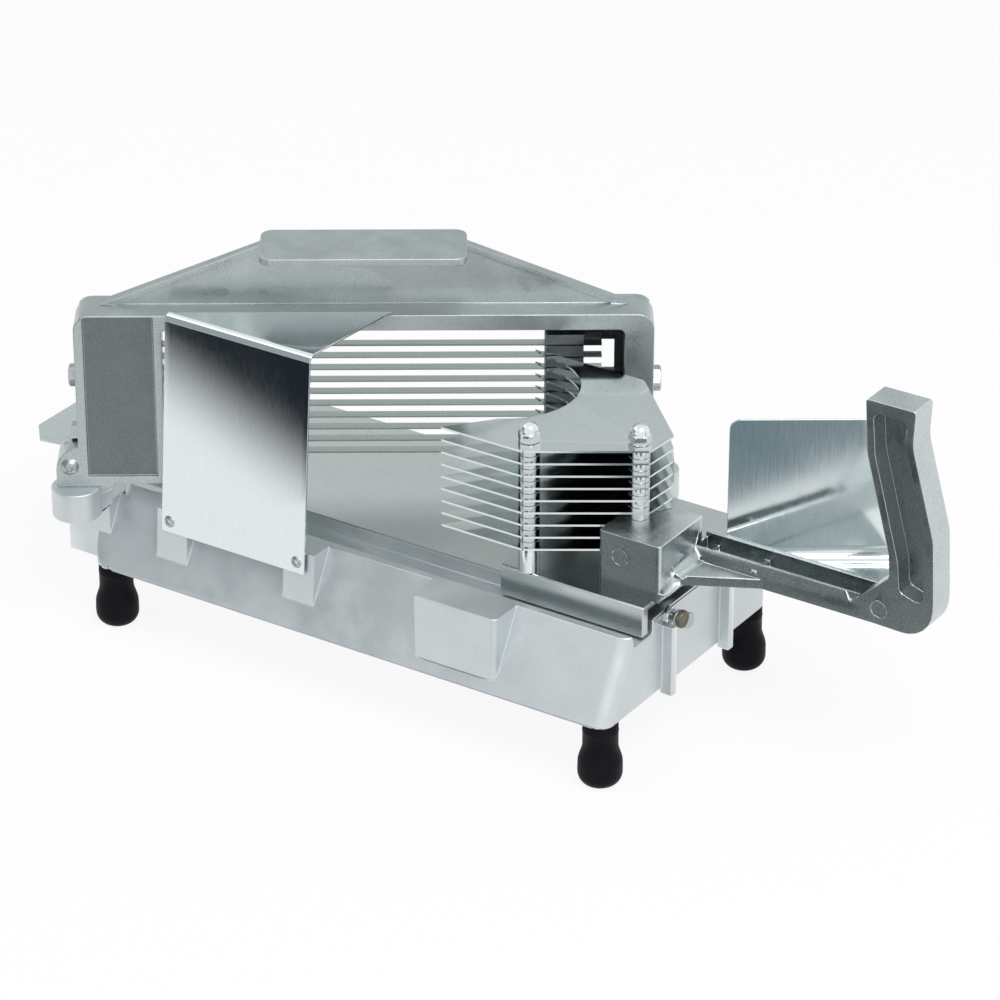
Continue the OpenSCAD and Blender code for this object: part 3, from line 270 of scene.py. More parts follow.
def turnedAxes(tree, where, turn, middle=(0, 0, 0)):
    # the same place, measured along axes that are turned about the upright
    return addNode(tree, "ShaderNodeMapping", vector_type="TEXTURE", Vector=where, Location=middle,
                   Rotation=(0, 0, turn)).outputs[0]


def dressShader(material, look, color, rough, metal, height, gloss=0.5):
    tree = material.node_tree
    bump = addNode(tree, "ShaderNodeBump", Strength=look["bump"], Distance=look["depth"], Height=height)
    shader = tree.nodes["Principled BSDF"]
    values = {"Base Color": color, "Roughness": rough, "Metallic": metal, "Specular IOR Level": gloss,
              "Normal": bump.outputs["Normal"]}
    for key, value in values.items():
        feed(tree, shader.inputs[key], value)
    return material


castSkin = {"settle": 0.4, "filmRough": 0.07, "wornSmooth": 0.12}
sheetSkin = {"settle": 0.3, "wearStart": 0.55, "wearFull": 0.7}
mouldedSkin = {"settle": 0.8, "wearStart": 0.53, "wearFull": 0.66, "wearShare": 0.5}


def castFinish(name, look):
    material, tree, where = startFinish(name)
    grain = useGrain(tree, where, look)
    color = colorMix(tree, grain["Mask"], look["dark"], look["light"])
    # painted shade: inside these boxes the casting's recesses and pockets are coloured darker
    for shadeZone in look.get("shadeZones", []):
        axes = turnedAxes(tree, where, shadeZone["turn"], spot(0, 0, 0))
        box = useEffect(tree, "shadeZone", axes, Middle=shadeZone["middle"], Half=shadeZone["half"], Soft=shadeZone["soft"])
        shade = colorMix(tree, grain["Mask"], shadeZone["dark"], shadeZone["light"])
        color = colorMix(tree, box["Mask"], color, shade)
    # painted shade: faces that look to the front take darker colours, where the lamps leave them in shade
    if "side" in look:
        side = useEffect(tree, "facing", where, Side=look["side"], Start=look["sideStart"],
                         Full=look["sideFull"])
        shade = colorMix(tree, grain["Mask"], look["sideDark"], look["sideLight"])
        color = colorMix(tree, side["Mask"], color, shade)
    wear = useWear(tree, where, look)
    color = colorMix(tree, wear, color, look["worn"])
    film = mathNode(tree, "MULTIPLY", useFilm(tree, where, look, castSkin["settle"]), castSkin["filmRough"])
    rough = mathNode(tree, "ADD", rangeNode(tree, grain["Cloud"], 0.0, 1.0, *look["rough"]), film)
    worn = mathNode(tree, "MULTIPLY", wear, castSkin["wornSmooth"])
    rough = mathNode(tree, "SUBTRACT", rough, worn, True)
    return dressShader(material, look, color, rough, look["metal"], grain["Height"])


def sheetFinish(name, look):
    material, tree, where = startFinish(name)
    lines = useEffect(tree, "brush", turnedAxes(tree, where, look.get("turn", 0.0)), Stretch=look["stretch"],
                      Scale=look["lines"])
    film = useFilm(tree, where, look, sheetSkin["settle"])
    color = colorMix(tree, lines["Mask"], look["dark"], look["light"])
    color = colorMix(tree, mathNode(tree, "MULTIPLY", film, look["filmOn"]), color, look["film"])
    color = colorMix(tree, useWear(tree, where, sheetSkin), color, look["worn"])
    rough = rangeNode(tree, lines["Mask"], 0.0, 1.0, *look["rough"])
    rough = mathNode(tree, "ADD", rough, mathNode(tree, "MULTIPLY", film, look["filmRough"]), True)
    wave = addNode(tree, "ShaderNodeTexNoise", Scale=look["waveScale"], Detail=1.0, Vector=where)
    height = mathNode(tree, "ADD", mathNode(tree, "MULTIPLY", lines["Height"], look["lineShare"]),
                      mathNode(tree, "MULTIPLY", wave.outputs["Fac"], 1.0 - look["lineShare"]))
    return dressShader(material, look, color, rough, 1.0, height)


def mouldedFinish(name, look):
    material, tree, where = startFinish(name)
    grain = useGrain(tree, where, look)
    film = useFilm(tree, where, look, mouldedSkin["settle"])
    wear = useWear(tree, where, mouldedSkin)
    color = colorMix(tree, grain["Mask"], look["dark"], look["light"])
    color = colorMix(tree, mathNode(tree, "MULTIPLY", film, look["filmOn"]), color, look["film"])
    color = colorMix(tree, mathNode(tree, "MULTIPLY", wear, mouldedSkin["wearShare"]), color, look["worn"])
    rough = rangeNode(tree, grain["Cloud"], 0.0, 1.0, *look["rough"])
    return dressShader(material, look, color, rough, 0.0, grain["Height"], look["gloss"])


# painted shade: the recessed panel of the left leg and the pocket in the right leg, coloured darker as if in
# shadow
legPanelShade = {
    "turn": place["turn"], "middle": (-0.1478, 0.021, 0.128), "half": (0.0168, 0.0035, 0.0425),
    "soft": 0.0008, "dark": (0.13, 0.155, 0.16), "light": (0.21, 0.245, 0.25)}
pocketShade = {
    "turn": place["turn"], "middle": (0.0745, 0.030, 0.12), "half": (0.0195, 0.0095, 0.0435),
    "soft": 0.0008, "dark": (0.02, 0.024, 0.028), "light": (0.09, 0.105, 0.115)}
castLooks = {
    "castBase": {
        "speckle": 1900.0, "cloud": 38.0, "amount": 0.45, "dark": (0.57, 0.61, 0.63),
        "light": (0.69, 0.735, 0.75), "worn": (0.84, 0.87, 0.88), "wearStart": 0.58, "wearFull": 0.74,
        "smear": 26.0, "rough": (0.34, 0.46), "metal": 0.85, "bump": 0.18, "depth": 0.00008},
    "castFrame": {
        "speckle": 1700.0, "cloud": 60.0, "amount": 0.7, "dark": (0.38, 0.42, 0.43),
        "light": (0.55, 0.595, 0.60), "worn": (0.92, 0.94, 0.95), "wearStart": 0.58, "wearFull": 0.72,
        "smear": 34.0, "rough": (0.26, 0.40), "metal": 0.9, "bump": 0.25, "depth": 0.00010,
        "shadeZones": [legPanelShade, pocketShade]},
    "castHandle": {
        "speckle": 1500.0, "cloud": 70.0, "amount": 0.75, "dark": (0.46, 0.50, 0.51),
        "light": (0.66, 0.71, 0.72), "worn": (0.93, 0.95, 0.95), "wearStart": 0.58, "wearFull": 0.72,
        # painted shade: the handle's front-facing side is coloured darker
        "smear": 40.0, "rough": (0.22, 0.32), "side": (0, -1, 0), "sideStart": 0.70, "sideFull": 0.86,
        "sideDark": (0.09, 0.105, 0.11), "sideLight": (0.20, 0.23, 0.24), "metal": 0.95, "bump": 0.25,
        "depth": 0.00010}}
sheetLooks = {
    "deckSteel": {
        "stretch": (0.03, 1.0, 1.0), "lines": 2200.0, "dark": (0.47, 0.51, 0.50),
        "light": (0.54, 0.58, 0.57), "film": (0.50, 0.54, 0.53), "filmOn": 0.2,
        "worn": (0.75, 0.78, 0.78), "rough": (0.30, 0.36), "filmRough": 0.05, "smear": 22.0,
        "waveScale": 14.0, "lineShare": 0.4, "bump": 0.12, "depth": 0.00006},
    "chuteSteel": {
        "stretch": (0.03, 1.0, 1.0), "lines": 2000.0, "dark": (0.58, 0.62, 0.63),
        "light": (0.74, 0.78, 0.79), "film": (0.66, 0.69, 0.69), "filmOn": 0.3,
        "worn": (0.85, 0.88, 0.88), "rough": (0.3, 0.42), "filmRough": 0.08, "smear": 24.0,
        "waveScale": 12.0, "lineShare": 0.4, "bump": 0.12, "depth": 0.00006},
    "mirrorSheet": {
        "stretch": (1.0, 1.0, 0.04), "lines": 1800.0, "dark": (0.73, 0.79, 0.80),
        "light": (0.78, 0.83, 0.84), "film": (0.70, 0.75, 0.76), "filmOn": 0.15,
        "worn": (0.92, 0.94, 0.95), "rough": (0.06, 0.08), "filmRough": 0.04, "smear": 18.0,
        "waveScale": 9.0, "lineShare": 0.02, "bump": 0.2, "depth": 0.0005},
    "softSheet": {
        "stretch": (1.0, 1.0, 0.04), "lines": 1800.0, "dark": (0.70, 0.76, 0.77),
        "light": (0.76, 0.81, 0.82), "film": (0.68, 0.73, 0.74), "filmOn": 0.15,
        "worn": (0.92, 0.94, 0.95), "rough": (0.10, 0.13), "filmRough": 0.05, "smear": 20.0,
        "waveScale": 12.0, "lineShare": 0.01, "bump": 0.15, "depth": 0.0004},
    "plateSteel": {
        "stretch": (1.0, 0.04, 1.0), "lines": 2400.0, "dark": (0.56, 0.61, 0.61),
        "light": (0.62, 0.67, 0.67), "film": (0.56, 0.6, 0.6), "filmOn": 0.2, "worn": (0.9, 0.92, 0.92),
        "rough": (0.07, 0.11), "filmRough": 0.05, "smear": 24.0, "waveScale": 20.0, "lineShare": 0.15,
        "bump": 0.1, "depth": 0.00008},
    "carriageSteel": {
        "stretch": (0.06, 1.0, 1.0), "lines": 2900.0, "dark": (0.52, 0.56, 0.565),
        "light": (0.58, 0.62, 0.62), "film": (0.5, 0.54, 0.54), "filmOn": 0.25, "worn": (0.88, 0.9, 0.9),
        "rough": (0.2, 0.25), "filmRough": 0.08, "smear": 30.0, "waveScale": 25.0, "lineShare": 0.3,
        "bump": 0.06, "depth": 0.00005},
    "bladeSteel": {
        "turn": place["turn"], "stretch": (1.0, 0.05, 0.05), "lines": 2600.0, "dark": (0.46, 0.51, 0.49),
        "light": (0.54, 0.60, 0.575), "film": (0.47, 0.52, 0.50), "filmOn": 0.2,
        "worn": (0.42, 0.46, 0.44), "rough": (0.14, 0.26), "filmRough": 0.08, "smear": 60.0,
        "waveScale": 60.0, "lineShare": 0.6, "bump": 0.1, "depth": 0.00004},
    "chrome": {
        "stretch": (0.05, 0.05, 1.0), "lines": 3000.0, "dark": (0.72, 0.74, 0.75),
        "light": (0.84, 0.86, 0.87), "film": (0.6, 0.63, 0.64), "filmOn": 0.15,
        "worn": (0.95, 0.96, 0.97), "rough": (0.06, 0.12), "filmRough": 0.06, "smear": 90.0,
        "waveScale": 120.0, "lineShare": 0.5, "bump": 0.05, "depth": 0.00003},
    # painted shade: the end blocks are coloured near black, for the shade inside the frame's legs
    "blockSteel": {
        "stretch": (1.0, 1.0, 0.08), "lines": 1600.0, "dark": (0.02, 0.024, 0.03),
        "light": (0.06, 0.07, 0.08), "film": (0.1, 0.11, 0.12), "filmOn": 0.3, "worn": (0.4, 0.43, 0.44),
        "rough": (0.3, 0.45), "filmRough": 0.1, "smear": 70.0, "waveScale": 60.0, "lineShare": 0.6,
        "bump": 0.15, "depth": 0.00006},
    "oliveSteel": {
        "stretch": (1.0, 1.0, 0.2), "lines": 2600.0, "dark": (0.09, 0.09, 0.06),
        "light": (0.17, 0.165, 0.12), "film": (0.2, 0.2, 0.16), "filmOn": 0.3, "worn": (0.75, 0.76, 0.74),
        "rough": (0.26, 0.38), "filmRough": 0.1, "smear": 110.0, "waveScale": 100.0, "lineShare": 0.6,
        "bump": 0.12, "depth": 0.00005},
    "screwSteel": {
        "stretch": (1.0, 1.0, 0.2), "lines": 2600.0, "dark": (0.34, 0.37, 0.38),
        "light": (0.56, 0.59, 0.6), "film": (0.4, 0.42, 0.43), "filmOn": 0.3, "worn": (0.88, 0.9, 0.91),
        "rough": (0.2, 0.34), "filmRough": 0.1, "smear": 110.0, "waveScale": 100.0, "lineShare": 0.6,
        "bump": 0.12, "depth": 0.00005}}
mouldedLooks = {
    "footRubber": {
        "speckle": 2600.0, "cloud": 70.0, "amount": 0.5, "dark": (0.003, 0.003, 0.005),
        "light": (0.009, 0.009, 0.013), "film": (0.02, 0.02, 0.024), "filmOn": 0.1,
        "worn": (0.02, 0.02, 0.026), "smear": 80.0, "rough": (0.42, 0.55), "gloss": 0.08, "bump": 0.3,
        "depth": 0.00008},
    "slideNylon": {
        "speckle": 2200.0, "cloud": 60.0, "amount": 0.4, "dark": (0.66, 0.66, 0.62),
        "light": (0.8, 0.8, 0.77), "film": (0.5, 0.5, 0.47), "filmOn": 0.25, "worn": (0.86, 0.86, 0.84),
        "smear": 60.0, "rough": (0.35, 0.5), "gloss": 0.4, "bump": 0.15, "depth": 0.00005}}
finishes = {name: castFinish(name, look) for name, look in castLooks.items()}
finishes.update({name: sheetFinish(name, look) for name, look in sheetLooks.items()})
finishes.update({name: mouldedFinish(name, look) for name, look in mouldedLooks.items()})
print("finishes ready:", len(finishes))


# mesh helpers

def toObject(name, build, finish=None):
    build.normal_update()
    mesh = bpy.data.meshes.new(name)
    build.to_mesh(mesh)
    build.free()
    obj = bpy.data.objects.new(name, mesh)
    bpy.context.collection.objects.link(obj)
    if finish:
        mesh.materials.append(finishes[finish])
    return obj


def bakeModifiers(obj):
    # the evaluated mesh takes the place of the live modifiers
    depsgraph = bpy.context.evaluated_depsgraph_get()
    mesh = bpy.data.meshes.new_from_object(obj.evaluated_get(depsgraph), depsgraph=depsgraph)
    old = obj.data
    obj.modifiers.clear()
    obj.data = mesh
    mesh.name = obj.name
    bpy.data.meshes.remove(old)


def finishShading(obj, sharp=38.0, weighted=True):
    for face in obj.data.polygons:
        face.use_smooth = True
    obj.data.set_sharp_from_angle(angle=math.radians(sharp))
    if weighted:
        even = obj.modifiers.new("evenNormals", "WEIGHTED_NORMAL")
        even.weight = 60
        even.keep_sharp = True
        bakeModifiers(obj)


def softenCorners(obj, width, segments, least, skip=()):
    # marks the corners that get a small round, and leaves fine detail alone
    build = bmesh.new()
    build.from_mesh(obj.data)
    weight = build.edges.layers.float.new("bevel_weight_edge")
    for edge in build.edges:
        if len(edge.link_faces) != 2 or edge.calc_face_angle() < math.radians(least):
            continue
        middle = (edge.verts[0].co + edge.verts[1].co) / 2
        if any((middle - centre).length < reach for centre, reach in skip):
            continue
        edge[weight] = 1.0
    build.to_mesh(obj.data)
    build.free()
    bevel = obj.modifiers.new("corners", "BEVEL")
    bevel.width = width
    bevel.segments = segments
    bevel.limit_method = "WEIGHT"
    bevel.use_clamp_overlap = False
    bevel.loop_slide = False
    bakeModifiers(obj)


copyLook = {"weld": 2e-6, "flat": math.radians(0.5), "mostCorners": 4}


def softCopy(node, name, finish, width, segments=3, least=28.0, skip=()):
    build = bmesh.new()
    build.from_mesh(cadNodes[node].data)
    bmesh.ops.remove_doubles(build, verts=build.verts, dist=copyLook["weld"])
    bmesh.ops.dissolve_limit(build, angle_limit=copyLook["flat"], verts=build.verts, edges=build.edges)
    # faces with many corners are split again, so that none reaches around a hole
    wide = [face for face in build.faces if len(face.verts) > copyLook["mostCorners"]]
    bmesh.ops.triangulate(build, faces=wide, quad_method="BEAUTY", ngon_method="BEAUTY")
    obj = toObject(name, build, finish)
    softenCorners(obj, width, segments, least, skip)
    finishShading(obj)
    return obj


def joinLoops(build, low, high):
    for k, corner in enumerate(low):
        after = (k + 1) % len(low)
        build.faces.new((corner, low[after], high[after], high[k]))


def turned(rings, steps=48, hollow=False):
    # rings of a height and a radius, or a radius for each angle; capped, or hollow and joined to itself
    build = bmesh.new()
    loops = []
    for height, radius in rings:
        loop = []
        for k in range(steps):
            angle = 2 * math.pi * k / steps
            r = radius(angle) if callable(radius) else radius
            loop.append(build.verts.new((r * math.cos(angle), r * math.sin(angle), height)))
        loops.append(loop)
    for low, high in zip(loops, loops[1:] + loops[:1] if hollow else loops[1:]):
        joinLoops(build, low, high)
    if not hollow:
        for loop, height, flip in ((loops[0], rings[0][0], True), (loops[-1], rings[-1][0], False)):
            pole = build.verts.new((0, 0, height))
            for k in range(steps):
                first, second = loop[k], loop[(k + 1) % steps]
                build.faces.new((second, first, pole) if flip else (first, second, pole))
    bmesh.ops.recalc_face_normals(build, faces=build.faces)
    return build


def hexRadius(across):
    def radius(angle):
        turn = (angle + math.pi / 6) % (math.pi / 3) - math.pi / 6
        return across / math.cos(turn)
    return radius


def cutRadius(radius, most):
    return lambda angle: min(radius(angle), most)


# repeated pieces, placed by Geometry Nodes

def makeRepeatTree():
    tree, given, made = newTree("repeatOnPoints", "GeometryNodeTree", [
        ("Points", "Geometry", None), ("Piece", "Object", None), ("Axis", "Vector", (0, 0, 1)),
        ("Size", "Float", 1.0), ("Loose Turn", "Float", 0.0), ("Seed", "Int", 7),
        ("Finish", "Material", None)], [("Geometry", "Geometry")])
    source = addNode(tree, "GeometryNodeObjectInfo", Object=given["Piece"])
    spots = addNode(tree, "GeometryNodeMeshToPoints", Mesh=given["Points"])
    aim = addNode(tree, "FunctionNodeAlignRotationToVector", axis="Z", Vector=given["Axis"])
    loose = addNode(tree, "FunctionNodeRandomValue", data_type="FLOAT", Seed=given["Seed"])
    feed(tree, loose.inputs[3], given["Loose Turn"])
    spin = addNode(tree, "ShaderNodeCombineXYZ", Z=loose.outputs[1])
    own = addNode(tree, "FunctionNodeRotateRotation", rotation_space="LOCAL", **{
        "Rotation": aim.outputs["Rotation"], "Rotate By": spin.outputs[0]})
    copies = addNode(tree, "GeometryNodeInstanceOnPoints", Points=spots.outputs["Points"],
                     Instance=source.outputs["Geometry"], Rotation=own.outputs["Rotation"],
                     Scale=given["Size"])
    real = addNode(tree, "GeometryNodeRealizeInstances", Geometry=copies.outputs["Instances"])
    paint = addNode(tree, "GeometryNodeSetMaterial", Geometry=real.outputs["Geometry"],
                    Material=given["Finish"])
    feed(tree, made["Geometry"], paint.outputs["Geometry"])
    return tree


repeatTree = makeRepeatTree()


def repeatPiece(name, pattern, points, axis, finish, looseTurn=0.0, seed=7, sharp=32.0):
    build = bmesh.new()
    for point in points:
        build.verts.new(point)
    obj = toObject(name, build)
    piece = toObject(name + "Pattern", pattern)
    values = {"Piece": piece, "Axis": axis, "Size": 1.0, "Loose Turn": looseTurn, "Seed": seed,
              "Finish": finishes[finish]}
    repeat = obj.modifiers.new("repeat", "NODES")
    repeat.node_group = repeatTree
    for label, value in values.items():
        repeat[repeatTree.interface.items_tree[label].identifier] = value
    bakeModifiers(obj)
    bpy.data.objects.remove(piece)
    finishShading(obj, sharp)
    return obj


def settle(obj, body, slot, *nodes):
    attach(obj, body)
    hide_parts(*nodes)


# base casting

baseLook = {"width": 0.0006, "segments": 3, "least": 24.0, "skip": [
    (spot(-109, -60.2, 67), 0.0045), (spot(-34.1, -60.2, 67), 0.0045), (spot(-2.7, -68.6, 33.4), 0.003),
    (bladeSpot(-150.6, 41.2, 69.2), 0.009)]}
settle(softCopy("base_casting", "baseCasting", "castBase", **baseLook), "base", "cast_base", "base_casting")

chuteLook = {"width": 0.00022, "segments": 2}
settle(softCopy("outfeed_chute", "outfeedChute", "chuteSteel", **chuteLook), "base", "deck_steel",
       "outfeed_chute")
print("base and chute ready")

# blade frame

archLook = {"width": 0.0005, "segments": 3, "least": 26.0, "skip": [(bladeSpot(117.4, 39.5, 97), 0.008)]}
settle(softCopy("blade_frame", "bladeFrame", "castFrame", **archLook), "base", "cast_frame", "blade_frame")
print("frame ready")

# carriage and handle

carriageLook = {"width": 0.0004, "segments": 2}
settle(softCopy("carriage", "carriagePlate", "carriageSteel", **carriageLook), "pusher", "carriage_steel",
       "carriage")

handleLook = {"width": 0.0005, "segments": 3, "least": 26.0, "skip": [
    (spot(124.5, -28, 101), 0.0062), (spot(244, 2, 96), 0.0062), (spot(142, -14, 89.5), 0.0085),
    (spot(146.6, -14, 80.5), 0.005), (spot(143.5, 3, 88), 0.0125), (spot(145, -27.8, 86.5), 0.0065),
    (spot(185.8, 4.6, 99), 0.003)]}
settle(softCopy("handle_casting", "handleCasting", "castHandle", **handleLook), "pusher", "cast_handle",
       "handle_casting")
print("handle ready")


# bent sheets

sheetLook = {"weld": 1e-6, "thick": 0.001, "edge": 0.0002, "edgeSteps": 2, "sharp": 50.0}


def bentSheet(name, finish, rows):
    # rows of points across the sheet; the thickness and a fine edge come after
    build = bmesh.new()
    grid = [[build.verts.new(point) for point in row] for row in rows]
    for low, high in zip(grid, grid[1:]):
        for k in range(len(low) - 1):
            build.faces.new((low[k], low[k + 1], high[k + 1], high[k]))
    bmesh.ops.remove_doubles(build, verts=build.verts, dist=sheetLook["weld"])
    obj = toObject(name, build, finish)
    thick = obj.modifiers.new("wall", "SOLIDIFY")
    thick.thickness = sheetLook["thick"]
    thick.offset = 1.0
    thick.use_even_offset = True
    bakeModifiers(obj)
    softenCorners(obj, sheetLook["edge"], sheetLook["edgeSteps"], sheetLook["sharp"])
    finishShading(obj, sheetLook["sharp"])
    return obj


guardLook = {"left": -113.6, "right": -29.5, "nose": 4.0, "footZ": 61.5, "topZ": 172.4, "footY": -62.2,
             "topY": -53.52, "bend": 3.0, "flangeOff": 19.6, "leastDepth": 0.2, "columns": 24, "rows": 12,
             "bendSteps": 8}


def guardRows(look):
    lean = math.atan((look["topY"] - look["footY"]) / (look["topZ"] - look["footZ"]))
    turn = math.pi / 2 - lean
    reach = look["bend"] * math.tan(turn / 2)
    # the arc starts on the leaning face and ends on the flange
    startZ = look["topZ"] - reach * math.cos(lean)
    startY = look["topY"] - reach * math.sin(lean)
    centreY = startY + look["bend"] * math.cos(lean)
    centreZ = startZ - look["bend"] * math.sin(lean)
    sin, cos = math.sin(place["turn"]), math.cos(place["turn"])
    shares = [c / look["columns"] for c in range(look["columns"] + 1)]
    nearRow = [mixIn(look["left"], look["right"], u) for u in shares]
    farRow = [mixIn(look["left"], look["right"] + look["nose"], u) for u in shares]
    rows = []
    for k in range(look["rows"] + 1):
        t = k / look["rows"]
        y, z = mixIn(look["footY"], startY, t), mixIn(look["footZ"], startZ, t)
        rows.append([spot(x, y, z) for x in nearRow])
    for k in range(1, look["bendSteps"] + 1):
        angle = math.pi - lean - turn * k / look["bendSteps"]
        y, z = centreY + look["bend"] * math.cos(angle), centreZ + look["bend"] * math.sin(angle)
        rows.append([spot(x, y, z) for x in nearRow])
    for k in range(1, look["rows"] + 1):
        t = k / look["rows"]
        row = []
        for near, far in zip(nearRow, farRow):
            farY = max((look["flangeOff"] + far * sin) / cos, centreY + look["leastDepth"])
            row.append(spot(mixIn(near, far, t), mixIn(centreY, farY, t), look["topZ"]))
        rows.append(row)
    return rows


settle(bentSheet("frontGuard", "mirrorSheet", guardRows(guardLook)), "base", "polished_sheet", "front_guard")

knuckleLook = {"left": 138.7, "right": 217.0, "off": -70.0, "topZ": 160.3, "armZ": 88.0, "bend": 7.0,
               "corner": 5.0, "front": ((176.0, 5.0), (240.0, 5.0)), "cornerSteps": 6, "columns": 16,
               "rows": 12, "bendSteps": 7, "flangeRows": 8}


def knuckleRows(look):
    left, right, corner = look["left"], look["right"], look["corner"]
    quarter = [math.pi / 2 * k / look["cornerSteps"] for k in range(look["cornerSteps"] + 1)]
    stops = [left + corner * (1 - math.cos(angle)) for angle in quarter]
    stops += [mixIn(left + corner, right - corner, k / look["columns"]) for k in range(1, look["columns"])]
    stops += [right - corner * (1 - math.sin(angle)) for angle in quarter]

    def topAt(along):
        gap = max(0.0, corner - (along - left), corner - (right - along))
        return look["topZ"] - corner + math.sqrt(max(0.0, corner ** 2 - gap ** 2))

    lowZ = look["armZ"] + look["bend"]
    rows = []
    for k in range(look["rows"] + 1):
        rows.append([bladeSpot(s, look["off"], mixIn(topAt(s), lowZ, k / look["rows"])) for s in stops])
    for k in range(1, look["bendSteps"] + 1):
        angle = math.pi / 2 * k / look["bendSteps"]
        off = look["off"] - look["bend"] * (1 - math.cos(angle))
        rows.append([bladeSpot(s, off, lowZ - look["bend"] * math.sin(angle)) for s in stops])
    near, far = look["front"]
    for k in range(1, look["flangeRows"] + 1):
        row = []
        for s in stops:
            end = spot(mixIn(near[0], far[0], (s - left) / (right - left)), near[1], look["armZ"])
            bent = bladeSpot(s, look["off"] - look["bend"], look["armZ"])
            row.append(bent.lerp(end, k / look["flangeRows"]))
        rows.append(row)
    return rows


settle(bentSheet("knuckleGuard", "softSheet", knuckleRows(knuckleLook)), "pusher", "polished_sheet",
       "knuckle_guard")
print("bent sheets ready")


# rubber feet

footLook = {"flat": 0.0052, "bulge": 0.0106, "stem": 0.0084, "steps": 64, "curveSteps": 8,
            "swell": 1.1, "bulgeFrom": 0.0066, "bulgeLow": 0.0085, "bulgeHigh": 0.0115, "taper": 0.995,
            "neck": 0.021, "bead": (0.0280, 0.02825, 0.0287, 0.02895), "beadOut": 0.00015,
            "shoulder": 0.0326, "top": 0.0332, "topIn": 0.0005}
feet = {"foot_front_left": (-145.7, -59.5), "foot_front_right": (134.8, -59.5),
        "foot_rear_left": (-145.7, 60), "foot_rear_right": (134.8, 71.4)}


def footProfile(look):
    flat, bulge, stem, steps = look["flat"], look["bulge"], look["stem"], look["curveSteps"]
    rings = [(0.0, flat * 0.5), (0.0, flat)]
    for k in range(1, steps + 1):
        # low quarter round from the flat to the bulge
        angle = math.pi / 2 * k / steps
        rings.append((look["bulgeFrom"] * (1 - math.cos(angle)),
                      mixIn(flat, bulge, math.sin(angle) ** look["swell"])))
    rings += [(look["bulgeLow"], bulge), (look["bulgeHigh"], bulge * look["taper"])]
    for k in range(1, steps + 1):
        t = k / steps
        ease = t * t * (3 - 2 * t)
        rings.append((mixIn(look["bulgeHigh"], look["neck"], t), mixIn(bulge * look["taper"], stem, ease)))
    outs = (0.0, look["beadOut"], look["beadOut"], 0.0)
    rings += [(height, stem + out) for height, out in zip(look["bead"], outs)]
    rings += [(look["shoulder"], stem), (look["top"], stem - look["topIn"])]
    return rings


for node, (x, y) in feet.items():
    build = turned(footProfile(footLook), footLook["steps"])
    bmesh.ops.translate(build, verts=build.verts, vec=spot(x, y, 0))
    foot = toObject("rubber_" + node, build, "footRubber")
    finishShading(foot, 50.0, False)
    settle(foot, "base", "black_rubber", node)
print("feet ready")

# fasteners

tipLook = {"narrow": 0.8, "rise": 0.0003}
domeLook = {"seat": 0.9, "rim": 0.99, "edge": 0.0001, "crown": 0.5, "steps": 6, "lift": 0.00002,
            "socket": 0.36, "mouth": 0.46, "lead": 0.0002, "leadShare": 0.96, "floorShare": 0.94,
            "drillDepth": 0.0004, "drill": 0.0003}
hexLook = {"seat": 0.96, "washer": 0.97, "washerRise": 0.0003, "chamferLow": 0.0007,
           "chamferMiddle": 0.0003, "chamfer": 1.06, "flat": 0.93, "middle": 0.4}


def shankRings(shank, length):
    return [(-length, shank * tipLook["narrow"]), (-length + tipLook["rise"], shank)]


def domeScrew(head, rise, depth, shank, length):
    # round head with a hexagon socket, on a plain shank that runs down from the seat
    look = domeLook
    ball = (head * head + rise * rise) / (2 * rise)
    socket = hexRadius(head * look["socket"])
    rings = shankRings(shank, length) + [(-look["edge"], shank), (-look["edge"], head * look["seat"]),
                                         (0.0, head * look["rim"])]
    for k in range(look["steps"] + 1):
        r = mixIn(head, head * look["crown"], k / look["steps"])
        rings.append((rise - ball + math.sqrt(max(ball * ball - r * r, 0.0)) + look["lift"], r))
    topZ = rise - ball + math.sqrt(ball * ball - (head * look["mouth"]) ** 2)
    rings += [(topZ, socket), (topZ - look["lead"], lambda angle: socket(angle) * look["leadShare"]),
              (topZ - depth, lambda angle: socket(angle) * look["floorShare"]),
              (topZ - depth - look["drillDepth"], look["drill"])]
    return turned(rings)


def hexScrew(across, rise, shank, length):
    # hexagon head with a chamfered top and a washer face
    look = hexLook
    outer = hexRadius(across)
    return turned(shankRings(shank, length) + [
        (0.0, shank), (0.0, across * look["seat"]), (look["washerRise"], across * look["washer"]),
        (look["washerRise"], outer), (rise - look["chamferLow"], outer),
        (rise - look["chamferMiddle"], cutRadius(outer, across * look["chamfer"])),
        (rise, across * look["flat"]), (rise, across * look["middle"])])


guardScrew = {"head": 0.0036, "rise": 0.0024, "depth": 0.0012, "shank": 0.00195, "length": 0.0095}
earScrew = {"head": 0.0044, "rise": 0.0026, "depth": 0.0014, "shank": 0.0022, "length": 0.0078}
leftBolt = {"across": 0.00485, "rise": 0.004, "shank": 0.00198, "length": 0.029}
rightBolt = {"across": 0.00553, "rise": 0.004, "shank": 0.00198, "length": 0.0385}
seatLook = {"slope": 8.6 / 109.9, "guardX": (-109.0, -34.1), "footY": -61.2, "footZ": 61.5, "guardZ": 67,
            "sheet": 0.001, "earFront": (-173.4, 20, 91), "earRear": (111.9, 40, 91),
            "left": (-169, 33.7), "leftHeights": (133.7, 102.9), "right": (107.5, 33.7),
            "rightHeights": (131, 102)}

